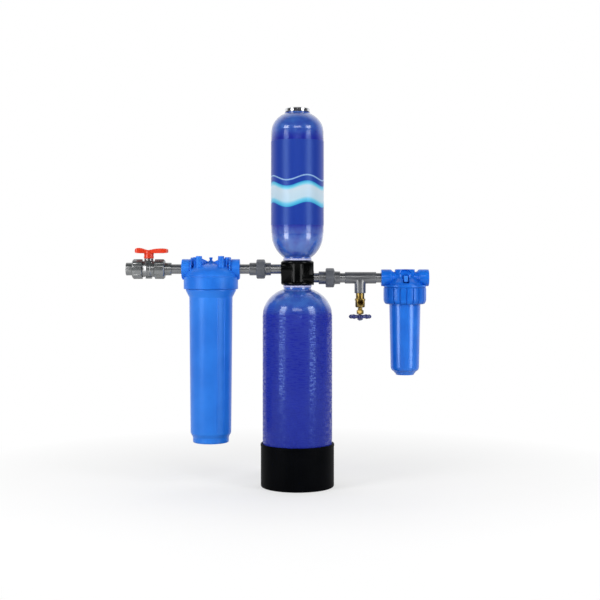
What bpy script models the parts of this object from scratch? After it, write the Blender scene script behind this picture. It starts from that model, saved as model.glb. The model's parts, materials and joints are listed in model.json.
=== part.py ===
"""Whole house water filter: two stacked tanks in a boot, a ball valve and a 20 in pre-filter on the left,
a tee with a drain valve and a 10 in post-filter on the right.

Metres. +Z is up, -Y is the front, +X is the outlet side. The origin is the centre of the boot's underside.
"""
import math

import bmesh
import bpy
from mathutils import Matrix, Vector

UP = Vector((0, 0, 1))
DOWN = -UP
RIGHT = Vector((1, 0, 0))
LEFT = -RIGHT
BACK = Vector((0, 1, 0))
FRONT = -BACK
FULL_TURN = 2 * math.pi
QUARTER_TURN = math.pi / 2
SHARP_ANGLE = math.radians(30)

# Clearances and overruns
MERGE = 0.00001
GAP = 0.0003
TURNING_GAP = 0.0012
SHAFT_GAP = 0.0005
OVERRUN = 0.002

# Sides of the round pieces: pieces that nest have as many sides as what they nest in
TANK_SIDES = 24
HOUSING_SIDES = 24
CONNECTOR_SIDES = 16
FITTING_SIDES = 12
PIPE_SIDES = 12
SMALL_SIDES = 10
SEAL_SIDES = 12
SEAL_CORD_SIDES = 5
DOME_STEPS = 5
INNER_DOME_STEPS = 3

# Pipe of nominal 1 in, 30 mm outside, glued 18 mm deep into each socket
PIPE_R = 0.0150
PIPE_WALL = 0.0028
SOCKET_DEPTH = 0.0180
SOCKET_R = 0.0197

# Boot
BOOT_R = 0.1140
BOOT_H = 0.1330
BOOT_FLOOR = 0.0097
BOOT_LIP = 0.0030

# Lower tank: 8 in, wound fibreglass
LOWER_R = 0.1075
LOWER_BOTTOM_RISE = 0.0600
LOWER_STRAIGHT = 0.4610
LOWER_TOP_RISE = 0.0860
LOWER_WALL = 0.0035
TANK_NECK_R = 0.0430
LOWER_NECK_H = 0.0049
LOWER_MEDIA_H = 0.3600

# Upper tank: 6 in
UPPER_R = 0.0810
UPPER_BOTTOM_RISE = 0.0880
UPPER_TOP_RISE = 0.0620
UPPER_WALL = 0.0030
UPPER_NECK_H = 0.0035
UPPER_TOP_NECK_R = 0.0400
UPPER_TOP_NECK_H = 0.0028

# Bores of the necks, and the spigots that screw into them
NECK_BORE_R = 0.0340
TOP_BORE_R = 0.0310
SPIGOT_LENGTH = 0.0220
SPIGOT_WALL = 0.0050
THREAD_CLEARANCE = 0.0005

# Neck rings
NECK_RING_R = 0.0437
NECK_RING_H = 0.0057

# Top cap and its O-ring
CAP_R = 0.0386
CAP_H = 0.0107
CAP_EDGE = 0.0022
CAP_RECESS_R = 0.0270
CAP_RECESS_DEPTH = 0.0030
CAP_O_RING_R = 0.0345
CAP_O_RING_CORD_R = 0.0010

# Label sleeve on the upper tank
LABEL_THICKNESS = 0.0005
LABEL_H = 0.2600
LABEL_ABOVE_BEND = 0.0240

# Risers and distributors
RISER_R = 0.0135
RISER_WALL = 0.0020
RISER_SOCKET_DEPTH = 0.0100
BASKET_R = 0.0240
BASKET_H = 0.0400
BASKET_COLLAR_R = 0.0180
BASKET_COLLAR_H = 0.0120
BASKET_RIB_DEPTH = 0.0020
BASKET_RIBS = 2
UPPER_RISER_LENGTH = 0.4000
UPPER_RISER_BELOW_STRAIGHT = 0.0838
UPPER_FREEBOARD = 0.1500
UPPER_STRAIGHT = UPPER_RISER_LENGTH - UPPER_RISER_BELOW_STRAIGHT
UPPER_MEDIA_H = UPPER_RISER_LENGTH - UPPER_FREEBOARD

# Tank connector
CONNECTOR_H = 0.0765
CONNECTOR_HALF_WIDTH = 0.0510
CONNECTOR_HALF_DEPTH = 0.0200
CONNECTOR_CORNER = 0.0040
COLUMN_R = 0.0270
FLANGE_R = 0.0505
FLANGE_H = 0.0085
FLANGE_RIM_H = 0.0040
CONNECTOR_PORT_R = 0.0225
CONNECTOR_INLET_Z = 0.0500
CONNECTOR_OUTLET_Z = 0.0230
CHAMBER_WEB = 0.0060
CHAMBER_R = 0.0230
CONNECTOR_PORT_LIP = 0.0008
RISER_BOSS_R = 0.0180
RISER_BOSS_H = 0.0120

# Free lengths of pipe between the fittings
INLET_PIPE_FREE = 0.0325
PREFILTER_PIPE_FREE = 0.0299
CONNECTOR_INLET_FREE = 0.0310
CONNECTOR_OUTLET_FREE = 0.0148
TEE_INLET_FREE = 0.0150
TEE_OUTLET_FREE = 0.0155

# Ball valve, of the double union kind
VALVE_HALF_LENGTH = 0.0700
VALVE_BODY_HALF = 0.0187
VALVE_BODY_R = 0.0247
VALVE_BAND_R = 0.0268
VALVE_BAND_HALF = 0.0050
VALVE_THREAD_R = 0.0238
VALVE_THREAD_LENGTH = 0.0140
VALVE_NUT_R = 0.0292
VALVE_NUT_LUG = 0.0014
VALVE_NUT_LUGS = 8
VALVE_NUT_LUG_SHARE = 0.45
VALVE_NUT_LENGTH = 0.0315
VALVE_NUT_LIP = 0.0120
VALVE_NUT_BEVEL = 0.0045
VALVE_FLANGE_H = 0.0035
VALVE_FOOT_WIDTH = 0.0190
VALVE_FOOT_DEPTH = 0.0220
VALVE_FOOT_H = 0.0050
VALVE_NECK_R = 0.0140
VALVE_NECK_FOOT_R = 0.0178
VALVE_NECK_TOP = 0.0325
BALL_R = 0.0180
BALL_SEGMENTS = 16
BALL_RINGS = 8
SEAT_R = 0.0186
SEAT_LENGTH = 0.0040
STEM_R = 0.0055
TANG_THICKNESS = 0.0036
TANG_WIDTH = 0.0090
TANG_H = 0.0028
DRIVE_WIDTH = 0.0074
DRIVE_H = 0.0110

# Ball valve handle
HANDLE_HUB_R = 0.0158
HANDLE_HUB_H = 0.0180
HANDLE_SHORT_ARM = 0.0430
HANDLE_LONG_ARM = 0.0600
HANDLE_HALF_DEPTH = 0.0110
HANDLE_ROUNDING = 0.0030
HANDLE_TOP = 0.0325
HANDLE_SHORT_TOP = 0.0305
HANDLE_DIP = 0.0255
HANDLE_UNDERSIDE = 0.0175

# Unions
UNION_TAIL = 0.0214
UNION_NUT_LENGTH = 0.0266
UNION_NUT_R = 0.0303
UNION_NUT_SIDES = 8
UNION_NUT_LIP = 0.0080
UNION_NUT_CHAMFER = 0.0025
UNION_THREAD_R = 0.0252
UNION_FLANGE_H = 0.0035
UNION_END = 0.0182
UNION_O_RING_R = 0.0205
UNION_O_RING_CORD_R = 0.0011
SOCKET_RIM = 0.0012

# Pre-filter lid; heights are from the axis of its ports
LID_PORT_HALF = 0.0896
LID_PORT_R = 0.0308
LID_PORT_RIM = 0.0020
LID_CREST_Z = 0.0210
LID_COLLAR_R = 0.0840
LID_COLLAR_TOP_Z = -0.0230
LID_COLLAR_BOTTOM_Z = -0.0620
LID_COLLAR_CHAMFER = 0.0030
LID_WALL = 0.0060
LID_SHOULDER_SHARES = ((0.40, 0.96), (0.66, 0.78), (0.84, 0.50), (0.94, 0.22))
LID_THREAD_H = 0.0300
LID_SKIRT_R = 0.0774
LID_NIPPLE_R = 0.0125
LID_NIPPLE_WALL = 0.0022
LID_NIPPLE_Z = -0.0310
LID_CAVITY_R = 0.0600
LID_CAVITY_TOP_Z = 0.0110
POST_R = 0.0095
POST_TOP_Z = 0.0400
POST_HOLE_R = 0.0032
POST_HOLE_DEPTH = 0.0160
FRONT_POST_X = 0.0340
FRONT_POST_Y = 0.0360
REAR_POST_X = 0.0500
REAR_POST_Y = 0.0300
REAR_POST_DROP = 0.0030
RIB_THICKNESS = 0.0035
RIB_TOP_Z = 0.0270
RIB_BOTTOM_Z = -0.0100
SIDE_PLATE_X = 0.0610
SIDE_PLATE_HALF = 0.0340
SIDE_PLATE_TOP_Z = 0.0365
SIDE_PLATE_THICKNESS = 0.0032
BUTTON_SEAT_R = 0.0100
BUTTON_SEAT_H = 0.0055
BUTTON_R = 0.0052
BUTTON_TOP_Z = 0.0365
BUTTON_CAP_H = 0.0060
BUTTON_STEM_R = 0.0026
BUTTON_STEM_LENGTH = 0.0140
BUTTON_TRAVEL = 0.0030

# Pre-filter sump and cartridge
SUMP_NECK_R = 0.0765
SUMP_FLANGE_R = 0.0773
SUMP_FLANGE_H = 0.0105
SUMP_CONE_H = 0.0150
SUMP_TOP_R = 0.0667
SUMP_BOTTOM_R = 0.0627
SUMP_CHAMFER_H = 0.0180
SUMP_BASE_R = 0.0555
SUMP_BASE_H = 0.0110
SUMP_BASE_ROUND = 0.0030
SUMP_WALL = 0.0045
SUMP_RIB_WIDTH = 0.0030
SUMP_RIB_STAND = 0.0011
SUMP_RIB_ANGLES = (22, 44, 202, 224)
SUMP_O_RING_CORD_R = 0.0020
CARTRIDGE_R = 0.0550
CARTRIDGE_BORE_R = 0.0140
CARTRIDGE_H = 0.4800
CARTRIDGE_PAST_STRAIGHT = 0.0650
SUMP_STRAIGHT = CARTRIDGE_H - CARTRIDGE_PAST_STRAIGHT
CARTRIDGE_CAP_H = 0.0060
CARTRIDGE_CAP_STAND = 0.0015

# Tee
TEE_LENGTH = 0.0965
TEE_R = 0.0180
TEE_BRANCH_R = 0.0175
TEE_BRANCH_DROP = 0.0476
TEE_THREAD_DEPTH = 0.0120

# Drain valve: heights are down from the tee's branch face
DRAIN_THREAD_R = 0.0133
DRAIN_NECK_R = 0.0138
DRAIN_NECK_H = 0.0165
DRAIN_BODY_R = 0.0150
DRAIN_BODY_H = 0.0290
DRAIN_BONNET_R = 0.0070
DRAIN_BONNET_H = 0.0060
DRAIN_SPOUT_R = 0.0118
DRAIN_SPOUT_BORE_R = 0.0076
DRAIN_SPOUT_REACH = 0.0290
DRAIN_SPOUT_DROP = 0.0278
DRAIN_HEX_R = 0.0165
DRAIN_HEX_H = 0.0070
DRAIN_CHAMBER_R = 0.0108
DRAIN_CHAMBER_H = 0.0265
DRAIN_SEAT_R = 0.0060
DRAIN_WASHER_R = 0.0088
DRAIN_WASHER_H = 0.0030
DRAIN_DISC_R = 0.0080
DRAIN_DISC_H = 0.0040
DRAIN_STEM_R = 0.0042
PACKING_NUT_R = 0.0122
PACKING_NUT_H = 0.0130
WHEEL_DROP = 0.0690
WHEEL_R = 0.0340
WHEEL_LOBE = 0.0026
WHEEL_LOBES = 8
WHEEL_POINTS = 32
WHEEL_H = 0.0110
WHEEL_ROUNDING = 0.0030
WHEEL_WINDOW_SIDES = 8
WHEEL_HUB_R = 0.0085
WHEEL_HUB_H = 0.0160
WHEEL_HOLE_R = 0.0066
WHEEL_HOLE_RING_R = 0.0185
WHEEL_HOLES = 5
WHEEL_SCREW_R = 0.0045
WHEEL_SCREW_H = 0.0025
WHEEL_SCREW_SHANK_R = 0.0018
WHEEL_SCREW_SHANK = 0.0080

# Post-filter head; heights are from the axis of its ports
HEAD_PORT_HALF = 0.0735
HEAD_PORT_R = 0.0262
HEAD_PORT_LENGTH = 0.0290
HEAD_PORT_NECK_R = 0.0190
HEAD_PORT_CONE = 0.0100
TOWER_R = 0.0310
TOWER_TOP_Z = 0.0265
TOWER_WAIST_Z = 0.0040
TOWER_FOOT_R = 0.0475
RIM_R = 0.0655
RIM_TOP_Z = -0.0215
RIM_H = 0.0085
RIM_ROUND = 0.0022
HEAD_SKIRT_R = 0.0575
HEAD_SKIRT_WALL = 0.0052
HEAD_CEILING_H = 0.0050
HEAD_NIPPLE_R = 0.0125
HEAD_NIPPLE_WALL = 0.0030
HEAD_NIPPLE_H = 0.0110
HEAD_WATERWAY_R = 0.0095
HEAD_DOWNWAY_X = 0.0260
HEAD_DOWNWAY_R = 0.0060
ARCH_R = 0.0235
ARCH_STEPS = 8
ARCH_DEPTH = 0.0060
VENT_Z = -0.0035
VENT_SHANK_R = 0.0040
VENT_SHANK = 0.0100
VENT_COLLAR_R = 0.0078
VENT_COLLAR_H = 0.0030
VENT_TAB_WIDTH = 0.0070
VENT_TAB_HEIGHT = 0.0200
VENT_TAB_DEPTH = 0.0090
VENT_TAB_ROUNDING = 0.0015

# Post-filter ring nut, sump and cartridge
RING_R = 0.0660
RING_H = 0.0508
RING_BORE_R = 0.0584
RING_LIP_H = 0.0150
RING_LIP_R = 0.0494
RING_TAPER = 0.0085
RING_TAPER_H = 0.0170
RING_SHOULDER = 0.0025
RING_FLUTES = 20
RING_FLUTE_DEPTH = 0.0022
RING_FLUTE_SHARE = 0.32
POST_SUMP_R = 0.0486
POST_SUMP_LOW_R = 0.0440
POST_SUMP_FLANGE_R = 0.0568
POST_SUMP_FLANGE_H = 0.0050
POST_SUMP_COLLAR_R = 0.0517
POST_SUMP_COLLAR_H = 0.0160
POST_SUMP_STEP_R = 0.0350
POST_SUMP_STEP_H = 0.0140
POST_SUMP_FOOT_R = 0.0280
POST_SUMP_FOOT_H = 0.0114
POST_SUMP_WALL = 0.0035
POST_O_RING_CORD_R = 0.0014
POST_CARTRIDGE_R = 0.0290
POST_CARTRIDGE_BORE_R = 0.0140
POST_CARTRIDGE_H = 0.2500
POST_CARTRIDGE_PAST_STRAIGHT = 0.0417
POST_SUMP_STRAIGHT = POST_CARTRIDGE_H - POST_CARTRIDGE_PAST_STRAIGHT

# Colours as (red, green, blue), linear
BLACK = (0.006, 0.006, 0.007)
TANK_BLUE = (0.017, 0.030, 0.360)
HOUSING_BLUE = (0.033, 0.220, 0.840)
POST_BLUE = (0.010, 0.150, 0.700)
GREY_PVC = (0.070, 0.080, 0.090)
PALE = (0.550, 0.600, 0.800)
CHROME = (0.650, 0.650, 0.680)
LABEL_BLUE = (0.020, 0.090, 0.420)
SIGNAL_RED = (0.800, 0.060, 0.020)
BRASS = (0.450, 0.260, 0.060)
WHEEL_BLUE = (0.008, 0.010, 0.150)
RUBBER = (0.010, 0.010, 0.010)
NATURAL = (0.700, 0.700, 0.660)
CARBON = (0.040, 0.040, 0.042)
STEEL = (0.500, 0.500, 0.510)

# Bores that follow from the sizes above
PIPE_BORE_R = PIPE_R - PIPE_WALL
SOCKET_BORE_R = PIPE_R + GAP


def dome_drop(radius, rise, neck):
    """Height of an elliptical dome over its tangent line where it has narrowed to the neck's radius."""
    return rise * math.sqrt(1 - (neck / radius) ** 2)


# Levels, from the floor up
TANK_BOTTOM_Z = BOOT_FLOOR + GAP
LOWER_BEND_Z = TANK_BOTTOM_Z + LOWER_BOTTOM_RISE
LOWER_TOP_BEND_Z = LOWER_BEND_Z + LOWER_STRAIGHT
LOWER_NECK_Z = LOWER_TOP_BEND_Z + dome_drop(LOWER_R, LOWER_TOP_RISE, TANK_NECK_R) + LOWER_NECK_H
CONNECTOR_Z = LOWER_NECK_Z + NECK_RING_H + 2 * GAP
INLET_Z = CONNECTOR_Z + CONNECTOR_INLET_Z
OUTLET_Z = CONNECTOR_Z + CONNECTOR_OUTLET_Z
CONNECTOR_TOP_Z = CONNECTOR_Z + CONNECTOR_H
UPPER_NECK_Z = CONNECTOR_TOP_Z + NECK_RING_H + 2 * GAP
UPPER_BEND_Z = UPPER_NECK_Z + UPPER_NECK_H + dome_drop(UPPER_R, UPPER_BOTTOM_RISE, TANK_NECK_R)
UPPER_TOP_BEND_Z = UPPER_BEND_Z + UPPER_STRAIGHT
UPPER_TOP_Z = UPPER_TOP_BEND_Z + dome_drop(UPPER_R, UPPER_TOP_RISE, UPPER_TOP_NECK_R) + UPPER_TOP_NECK_H
CAP_Z = UPPER_TOP_Z + 2 * CAP_O_RING_CORD_R + 2 * GAP

# Stations along the pipe run, from the connector outwards
UNION_LENGTH = UNION_TAIL + UNION_NUT_LENGTH + UNION_END
INLET_UNION_END_X = -CONNECTOR_HALF_WIDTH - CONNECTOR_INLET_FREE
INLET_UNION_X = INLET_UNION_END_X - UNION_LENGTH
LID_RIGHT_X = INLET_UNION_X - PREFILTER_PIPE_FREE
PREFILTER_X = LID_RIGHT_X - LID_PORT_HALF
LID_LEFT_X = PREFILTER_X - LID_PORT_HALF
VALVE_RIGHT_X = LID_LEFT_X - INLET_PIPE_FREE
VALVE_X = VALVE_RIGHT_X - VALVE_HALF_LENGTH
OUTLET_UNION_X = CONNECTOR_HALF_WIDTH + CONNECTOR_OUTLET_FREE
OUTLET_UNION_END_X = OUTLET_UNION_X + UNION_LENGTH
TEE_X = OUTLET_UNION_END_X + TEE_INLET_FREE
TEE_CENTRE_X = TEE_X + TEE_LENGTH / 2
TEE_END_X = TEE_X + TEE_LENGTH
HEAD_LEFT_X = TEE_END_X + TEE_OUTLET_FREE
POSTFILTER_X = HEAD_LEFT_X + HEAD_PORT_HALF

PREFILTER_PLACE = Vector((PREFILTER_X, 0, INLET_Z))
POSTFILTER_PLACE = Vector((POSTFILTER_X, 0, OUTLET_Z))
VALVE_PLACE = Vector((VALVE_X, 0, INLET_Z))
DRAIN_PLACE = Vector((TEE_CENTRE_X, 0, OUTLET_Z - TEE_BRANCH_DROP))


def clear_scene():
    for obj in list(bpy.data.objects):
        bpy.data.objects.remove(obj, do_unlink=True)


def new_collection(name):
    collection = bpy.data.collections.new(name)
    bpy.context.scene.collection.children.link(collection)
    return collection


clear_scene()
PARTS = new_collection("whole_house_water_filter")
CUTTERS = new_collection("cutters")


def new_material(name, colour, roughness, metallic=0.0):
    material = bpy.data.materials.new(name)
    material.use_nodes = True
    shader = material.node_tree.nodes["Principled BSDF"]
    shader.inputs["Base Color"].default_value = (*colour, 1.0)
    shader.inputs["Roughness"].default_value = roughness
    shader.inputs["Metallic"].default_value = metallic
    material.diffuse_color = (*colour, 1.0)
    return material


def part(obj, colour, roughness, metallic=0.0):
    """Keep a shape as one of the object's pieces, with a material of its own."""
    PARTS.objects.link(obj)
    obj.data.materials.clear()
    obj.data.materials.append(new_material(obj.name, colour, roughness, metallic))
    return obj


def tool(obj):
    """Keep a shape as a cutter or as a form to be joined to a piece."""
    CUTTERS.objects.link(obj)
    obj.hide_render = True
    obj.display_type = "WIRE"
    return obj


def combine(obj, operation, tools):
    for shape in tools:
        modifier = obj.modifiers.new(operation.title(), "BOOLEAN")
        modifier.operation = operation
        modifier.solver = "EXACT"
        modifier.object = tool(shape)
    return obj


def join(obj, *tools):
    return combine(obj, "UNION", tools)


def cut(obj, *tools):
    return combine(obj, "DIFFERENCE", tools)


def trim(obj, *tools):
    return combine(obj, "INTERSECT", tools)


def turned(name, outline, sides, place=(0, 0, 0), axis=UP):
    """A turned piece. Its outline is (radius, height) points down the outer side, top to bottom, and on a
    ring, a tube or a shell also up the inner side."""
    mesh = bpy.data.meshes.new(name)
    last = len(outline) - 1
    edges = [(i, i + 1) for i in range(last)]
    if outline[0][0] > MERGE:
        edges.append((last, 0))
    mesh.from_pydata([(radius, 0, height) for radius, height in outline], edges, [])
    obj = bpy.data.objects.new(name, mesh)
    obj.location = place
    obj.rotation_euler = axis.to_track_quat("Z", "Y").to_euler()
    screw = obj.modifiers.new("Turn", "SCREW")
    screw.steps = screw.render_steps = sides
    screw.use_merge_vertices = True
    screw.merge_threshold = MERGE
    return obj


def rod(name, radius, top, bottom, sides, place=(0, 0, 0), axis=UP):
    return turned(name, [(0, top), (radius, top), (radius, bottom), (0, bottom)], sides, place, axis)


def stepped(name, top, steps, sides, place=(0, 0, 0), axis=UP):
    """A round shape of several radii, from a top downwards: each step is (radius, the level it reaches)."""
    outline = [(0, top)]
    level = top
    for radius, reach in steps:
        outline += [(radius, level), (radius, reach)]
        level = reach
    return turned(name, outline + [(0, level)], sides, place, axis)


def tube(name, radius, bore, top, bottom, sides, place=(0, 0, 0), axis=UP):
    outline = [(bore, top), (radius, top), (radius, bottom), (bore, bottom)]
    return turned(name, outline, sides, place, axis)


def ring(name, radius, cord_radius, place, axis=UP):
    """An O-ring."""
    turns = [FULL_TURN * i / SEAL_CORD_SIDES for i in range(SEAL_CORD_SIDES)]
    outline = [(radius + cord_radius * math.cos(turn), -cord_radius * math.sin(turn)) for turn in turns]
    return turned(name, outline, SEAL_SIDES, place, axis)


def block(name, low, high, place=(0, 0, 0), rounding=0.0):
    """A box between two corners, with its edges rounded where a rounding is given."""
    mesh = bpy.data.meshes.new(name)
    shape = bmesh.new()
    bmesh.ops.create_cube(shape, size=1)
    low, high = Vector(low), Vector(high)
    bmesh.ops.transform(
        shape, matrix=Matrix.Translation((low + high) / 2) @ Matrix.Diagonal((*(high - low), 1)), verts=shape.verts
    )
    shape.to_mesh(mesh)
    shape.free()
    obj = bpy.data.objects.new(name, mesh)
    obj.location = place
    if rounding:
        soften(obj, rounding)
    return obj


def soften(obj, width, segments=1):
    bevel = obj.modifiers.new("Soften", "BEVEL")
    bevel.width = width
    bevel.segments = segments
    bevel.limit_method = "ANGLE"
    bevel.angle_limit = SHARP_ANGLE
    return obj


def raised(name, points, levels, place=(0, 0, 0), axis=UP):
    """A flat outline of (x, y) points, raised through levels of (height, how far its sides are drawn in)."""
    mesh = bpy.data.meshes.new(name)
    shape = bmesh.new()
    reach = max(math.hypot(x, y) for x, y in points)
    height, draw = levels[0]
    floor = shape.faces.new([shape.verts.new((x, y, height)) for x, y in points])
    bmesh.ops.scale(shape, vec=(1 - draw / reach, 1 - draw / reach, 1), verts=floor.verts)
    face = floor
    for next_height, next_draw in levels[1:]:
        grown = bmesh.ops.extrude_face_region(shape, geom=[face])["geom"]
        if face is not floor:
            bmesh.ops.delete(shape, geom=[face], context="FACES_ONLY")
        face = next(item for item in grown if isinstance(item, bmesh.types.BMFace))
        factor = (reach - next_draw) / (reach - draw)
        bmesh.ops.scale(shape, vec=(factor, factor, 1), verts=face.verts)
        bmesh.ops.translate(shape, vec=UP * (next_height - height), verts=face.verts)
        height, draw = next_height, next_draw
    bmesh.ops.recalc_face_normals(shape, faces=shape.faces)
    shape.to_mesh(mesh)
    shape.free()
    obj = bpy.data.objects.new(name, mesh)
    obj.location = place
    obj.rotation_euler = axis.to_track_quat("Z", "Y").to_euler()
    return obj


def around(count, radius, start=0.0):
    """Places on a circle in the XY plane, with the angle of each."""
    angles = [start + FULL_TURN * i / count for i in range(count)]
    return [(Vector((radius * math.cos(angle), radius * math.sin(angle), 0)), angle) for angle in angles]


def lugged_outline(radius, lug, count, lug_share):
    """A circle with flat-topped lugs round it."""
    points = []
    pitch = FULL_TURN / count
    half = pitch * lug_share / 2
    for i in range(count):
        middle = i * pitch
        for angle, reach in ((-half, 0), (-half, lug), (half, lug), (half, 0)):
            distance = radius + reach
            points.append((distance * math.cos(middle + angle), distance * math.sin(middle + angle)))
    return points


def fluted_outline(radius, depth, count, flute_share):
    """A circle with V-shaped flutes round it."""
    points = []
    pitch = FULL_TURN / count
    half = pitch * flute_share / 2
    for i in range(count):
        middle = i * pitch
        for angle, distance in ((-half, radius), (0, radius - depth), (half, radius)):
            points.append((distance * math.cos(middle + angle), distance * math.sin(middle + angle)))
    return points


def dome(radius, rise, neck=0.0, steps=DOME_STEPS):
    """(radius, height) points of an elliptical dome, from its tangent line to its neck or its pole."""
    end = math.acos(neck / radius)
    points = [(radius * math.cos(end * i / steps), rise * math.sin(end * i / steps)) for i in range(steps)]
    return points + [(neck, rise * math.sin(end))]


def height_at(points, radius):
    """The height at a radius of an outline that runs outwards."""
    near, far = next(pair for pair in zip(points, points[1:]) if pair[1][0] >= radius)
    return near[1] + (far[1] - near[1]) * (radius - near[0]) / (far[0] - near[0])


def radius_at(points, level):
    """The radius at a level of an outline that runs upwards."""
    return height_at([(height, radius) for radius, height in points], level)


def above(points, level):
    """An outline's points, lifted to a level."""
    return [(radius, level + height) for radius, height in points]


def below(points, level):
    """An outline's points, hung upside down from a level."""
    return [(radius, level - height) for radius, height in points]


def socket_tube(name, radius, length, place, axis, extra_outline=()):
    """A pipe socket whose mouth is at its place and that runs along its axis, on a bore for the water. The
    extra outline replaces the far end's plain rim: (radius, height) points, down the outer side."""
    rim = extra_outline or [(PIPE_BORE_R, length), (radius, length)]
    outline = list(rim) + [
        (radius, SOCKET_RIM), (radius - SOCKET_RIM, 0), (SOCKET_BORE_R, 0), (SOCKET_BORE_R, SOCKET_DEPTH),
        (PIPE_BORE_R, SOCKET_DEPTH),
    ]
    return turned(name, outline, PIPE_SIDES, place, axis)


def pipe(name, start_x, end_x, height):
    """A pipe that is glued into a socket at both ends."""
    depth = SOCKET_DEPTH - GAP
    place = (start_x - depth, 0, height)
    return part(tube(name, PIPE_R, PIPE_BORE_R, end_x - start_x + 2 * depth, 0, PIPE_SIDES, place, RIGHT),
                GREY_PVC, 0.35)


def make_boot():
    cup_r = LOWER_R + GAP
    cup = above(below(dome(cup_r, LOWER_BOTTOM_RISE + GAP), 0), LOWER_BEND_Z)[::-1]
    outline = cup + [
        (cup_r, BOOT_H), (BOOT_R - BOOT_LIP, BOOT_H), (BOOT_R, BOOT_H - BOOT_LIP), (BOOT_R, BOOT_LIP),
        (BOOT_R - BOOT_LIP, 0), (0, 0),
    ]
    part(turned("tank_boot", outline, TANK_SIDES), BLACK, 0.6)


def lower_tank_inside(clearance):
    """The lower tank's inner wall, from its bottom pole up to where the dome meets the neck's bore."""
    wall = LOWER_WALL + clearance
    low = below(dome(LOWER_R - wall, LOWER_BOTTOM_RISE - wall, 0, INNER_DOME_STEPS), LOWER_BEND_Z)[::-1]
    high = above(dome(LOWER_R - wall, LOWER_TOP_RISE - wall, NECK_BORE_R, INNER_DOME_STEPS), LOWER_TOP_BEND_Z)
    return low, high


def make_lower_tank():
    low, high = lower_tank_inside(0)
    outline = low + high + [(NECK_BORE_R, LOWER_NECK_Z), (TANK_NECK_R, LOWER_NECK_Z)]
    outline += above(dome(LOWER_R, LOWER_TOP_RISE, TANK_NECK_R), LOWER_TOP_BEND_Z)[::-1]
    outline += below(dome(LOWER_R, LOWER_BOTTOM_RISE), LOWER_BEND_Z)
    part(turned("lower_tank", outline, TANK_SIDES), TANK_BLUE, 0.25)


def upper_tank_inside(clearance):
    """The upper tank's inner wall, upwards: its bottom dome, then its top dome."""
    wall = UPPER_WALL + clearance
    low = below(dome(UPPER_R - wall, UPPER_BOTTOM_RISE - wall, NECK_BORE_R, INNER_DOME_STEPS), UPPER_BEND_Z)[::-1]
    high = above(dome(UPPER_R - wall, UPPER_TOP_RISE - wall, TOP_BORE_R, INNER_DOME_STEPS), UPPER_TOP_BEND_Z)
    return low, high


def make_upper_tank():
    low, high = upper_tank_inside(0)
    outline = [(TOP_BORE_R, UPPER_TOP_Z), (UPPER_TOP_NECK_R, UPPER_TOP_Z)]
    outline += above(dome(UPPER_R, UPPER_TOP_RISE, UPPER_TOP_NECK_R), UPPER_TOP_BEND_Z)[::-1]
    outline += below(dome(UPPER_R, UPPER_BOTTOM_RISE, TANK_NECK_R), UPPER_BEND_Z)
    outline += [(TANK_NECK_R, UPPER_NECK_Z), (NECK_BORE_R, UPPER_NECK_Z)] + low + high
    part(turned("upper_tank", outline, TANK_SIDES), TANK_BLUE, 0.25)


def make_neck_rings():
    """The pale collars between the tank necks and the connector."""
    bore = NECK_BORE_R - THREAD_CLEARANCE + GAP
    for name, level in (("lower_neck_ring", LOWER_NECK_Z + GAP), ("upper_neck_ring", CONNECTOR_TOP_Z + GAP)):
        part(tube(name, NECK_RING_R, bore, NECK_RING_H, 0, TANK_SIDES, UP * level), PALE, 0.3)


def make_top_cap():
    spigot_r = TOP_BORE_R - THREAD_CLEARANCE
    recess_z = CAP_H - CAP_RECESS_DEPTH
    outline = [
        (0, recess_z), (CAP_RECESS_R, recess_z), (CAP_RECESS_R, CAP_H), (CAP_R - CAP_EDGE, CAP_H),
        (CAP_R, CAP_H - CAP_EDGE), (CAP_R, 0), (spigot_r, 0), (spigot_r, -SPIGOT_LENGTH),
        (spigot_r - SPIGOT_WALL, -SPIGOT_LENGTH), (spigot_r - SPIGOT_WALL, 0), (0, 0),
    ]
    part(turned("top_cap", outline, TANK_SIDES, UP * CAP_Z), CHROME, 0.15, 1.0)
    seal_z = UPPER_TOP_Z + GAP + CAP_O_RING_CORD_R
    part(ring("top_cap_o_ring", CAP_O_RING_R, CAP_O_RING_CORD_R, UP * seal_z), RUBBER, 0.6)


def make_label():
    bore = UPPER_R + GAP
    low = UPPER_BEND_Z + LABEL_ABOVE_BEND
    part(tube("label_sleeve", bore + LABEL_THICKNESS, bore, LABEL_H, 0, TANK_SIDES, UP * low), LABEL_BLUE, 0.3)


def basket(name, mouth_z, direction):
    """A slotted distributor basket whose collar takes the end of a riser."""
    bore = RISER_R + GAP
    outline = [
        (0, BASKET_COLLAR_H), (bore, BASKET_COLLAR_H), (bore, 0), (BASKET_COLLAR_R, 0),
        (BASKET_COLLAR_R, BASKET_COLLAR_H),
    ]
    pitch = (BASKET_H - BASKET_COLLAR_H) / BASKET_RIBS
    for i in range(BASKET_RIBS):
        low = BASKET_COLLAR_H + i * pitch
        outline += [(BASKET_R, low), (BASKET_R, low + pitch / 2)]
        if i < BASKET_RIBS - 1:
            outline += [(BASKET_R - BASKET_RIB_DEPTH, low + pitch / 2), (BASKET_R - BASKET_RIB_DEPTH, low + pitch)]
    outline += [(BASKET_R - BASKET_RIB_DEPTH, BASKET_H), (0, BASKET_H)]
    part(turned(name, outline[::-1], SMALL_SIDES, UP * mouth_z, direction), NATURAL, 0.5)


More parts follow.
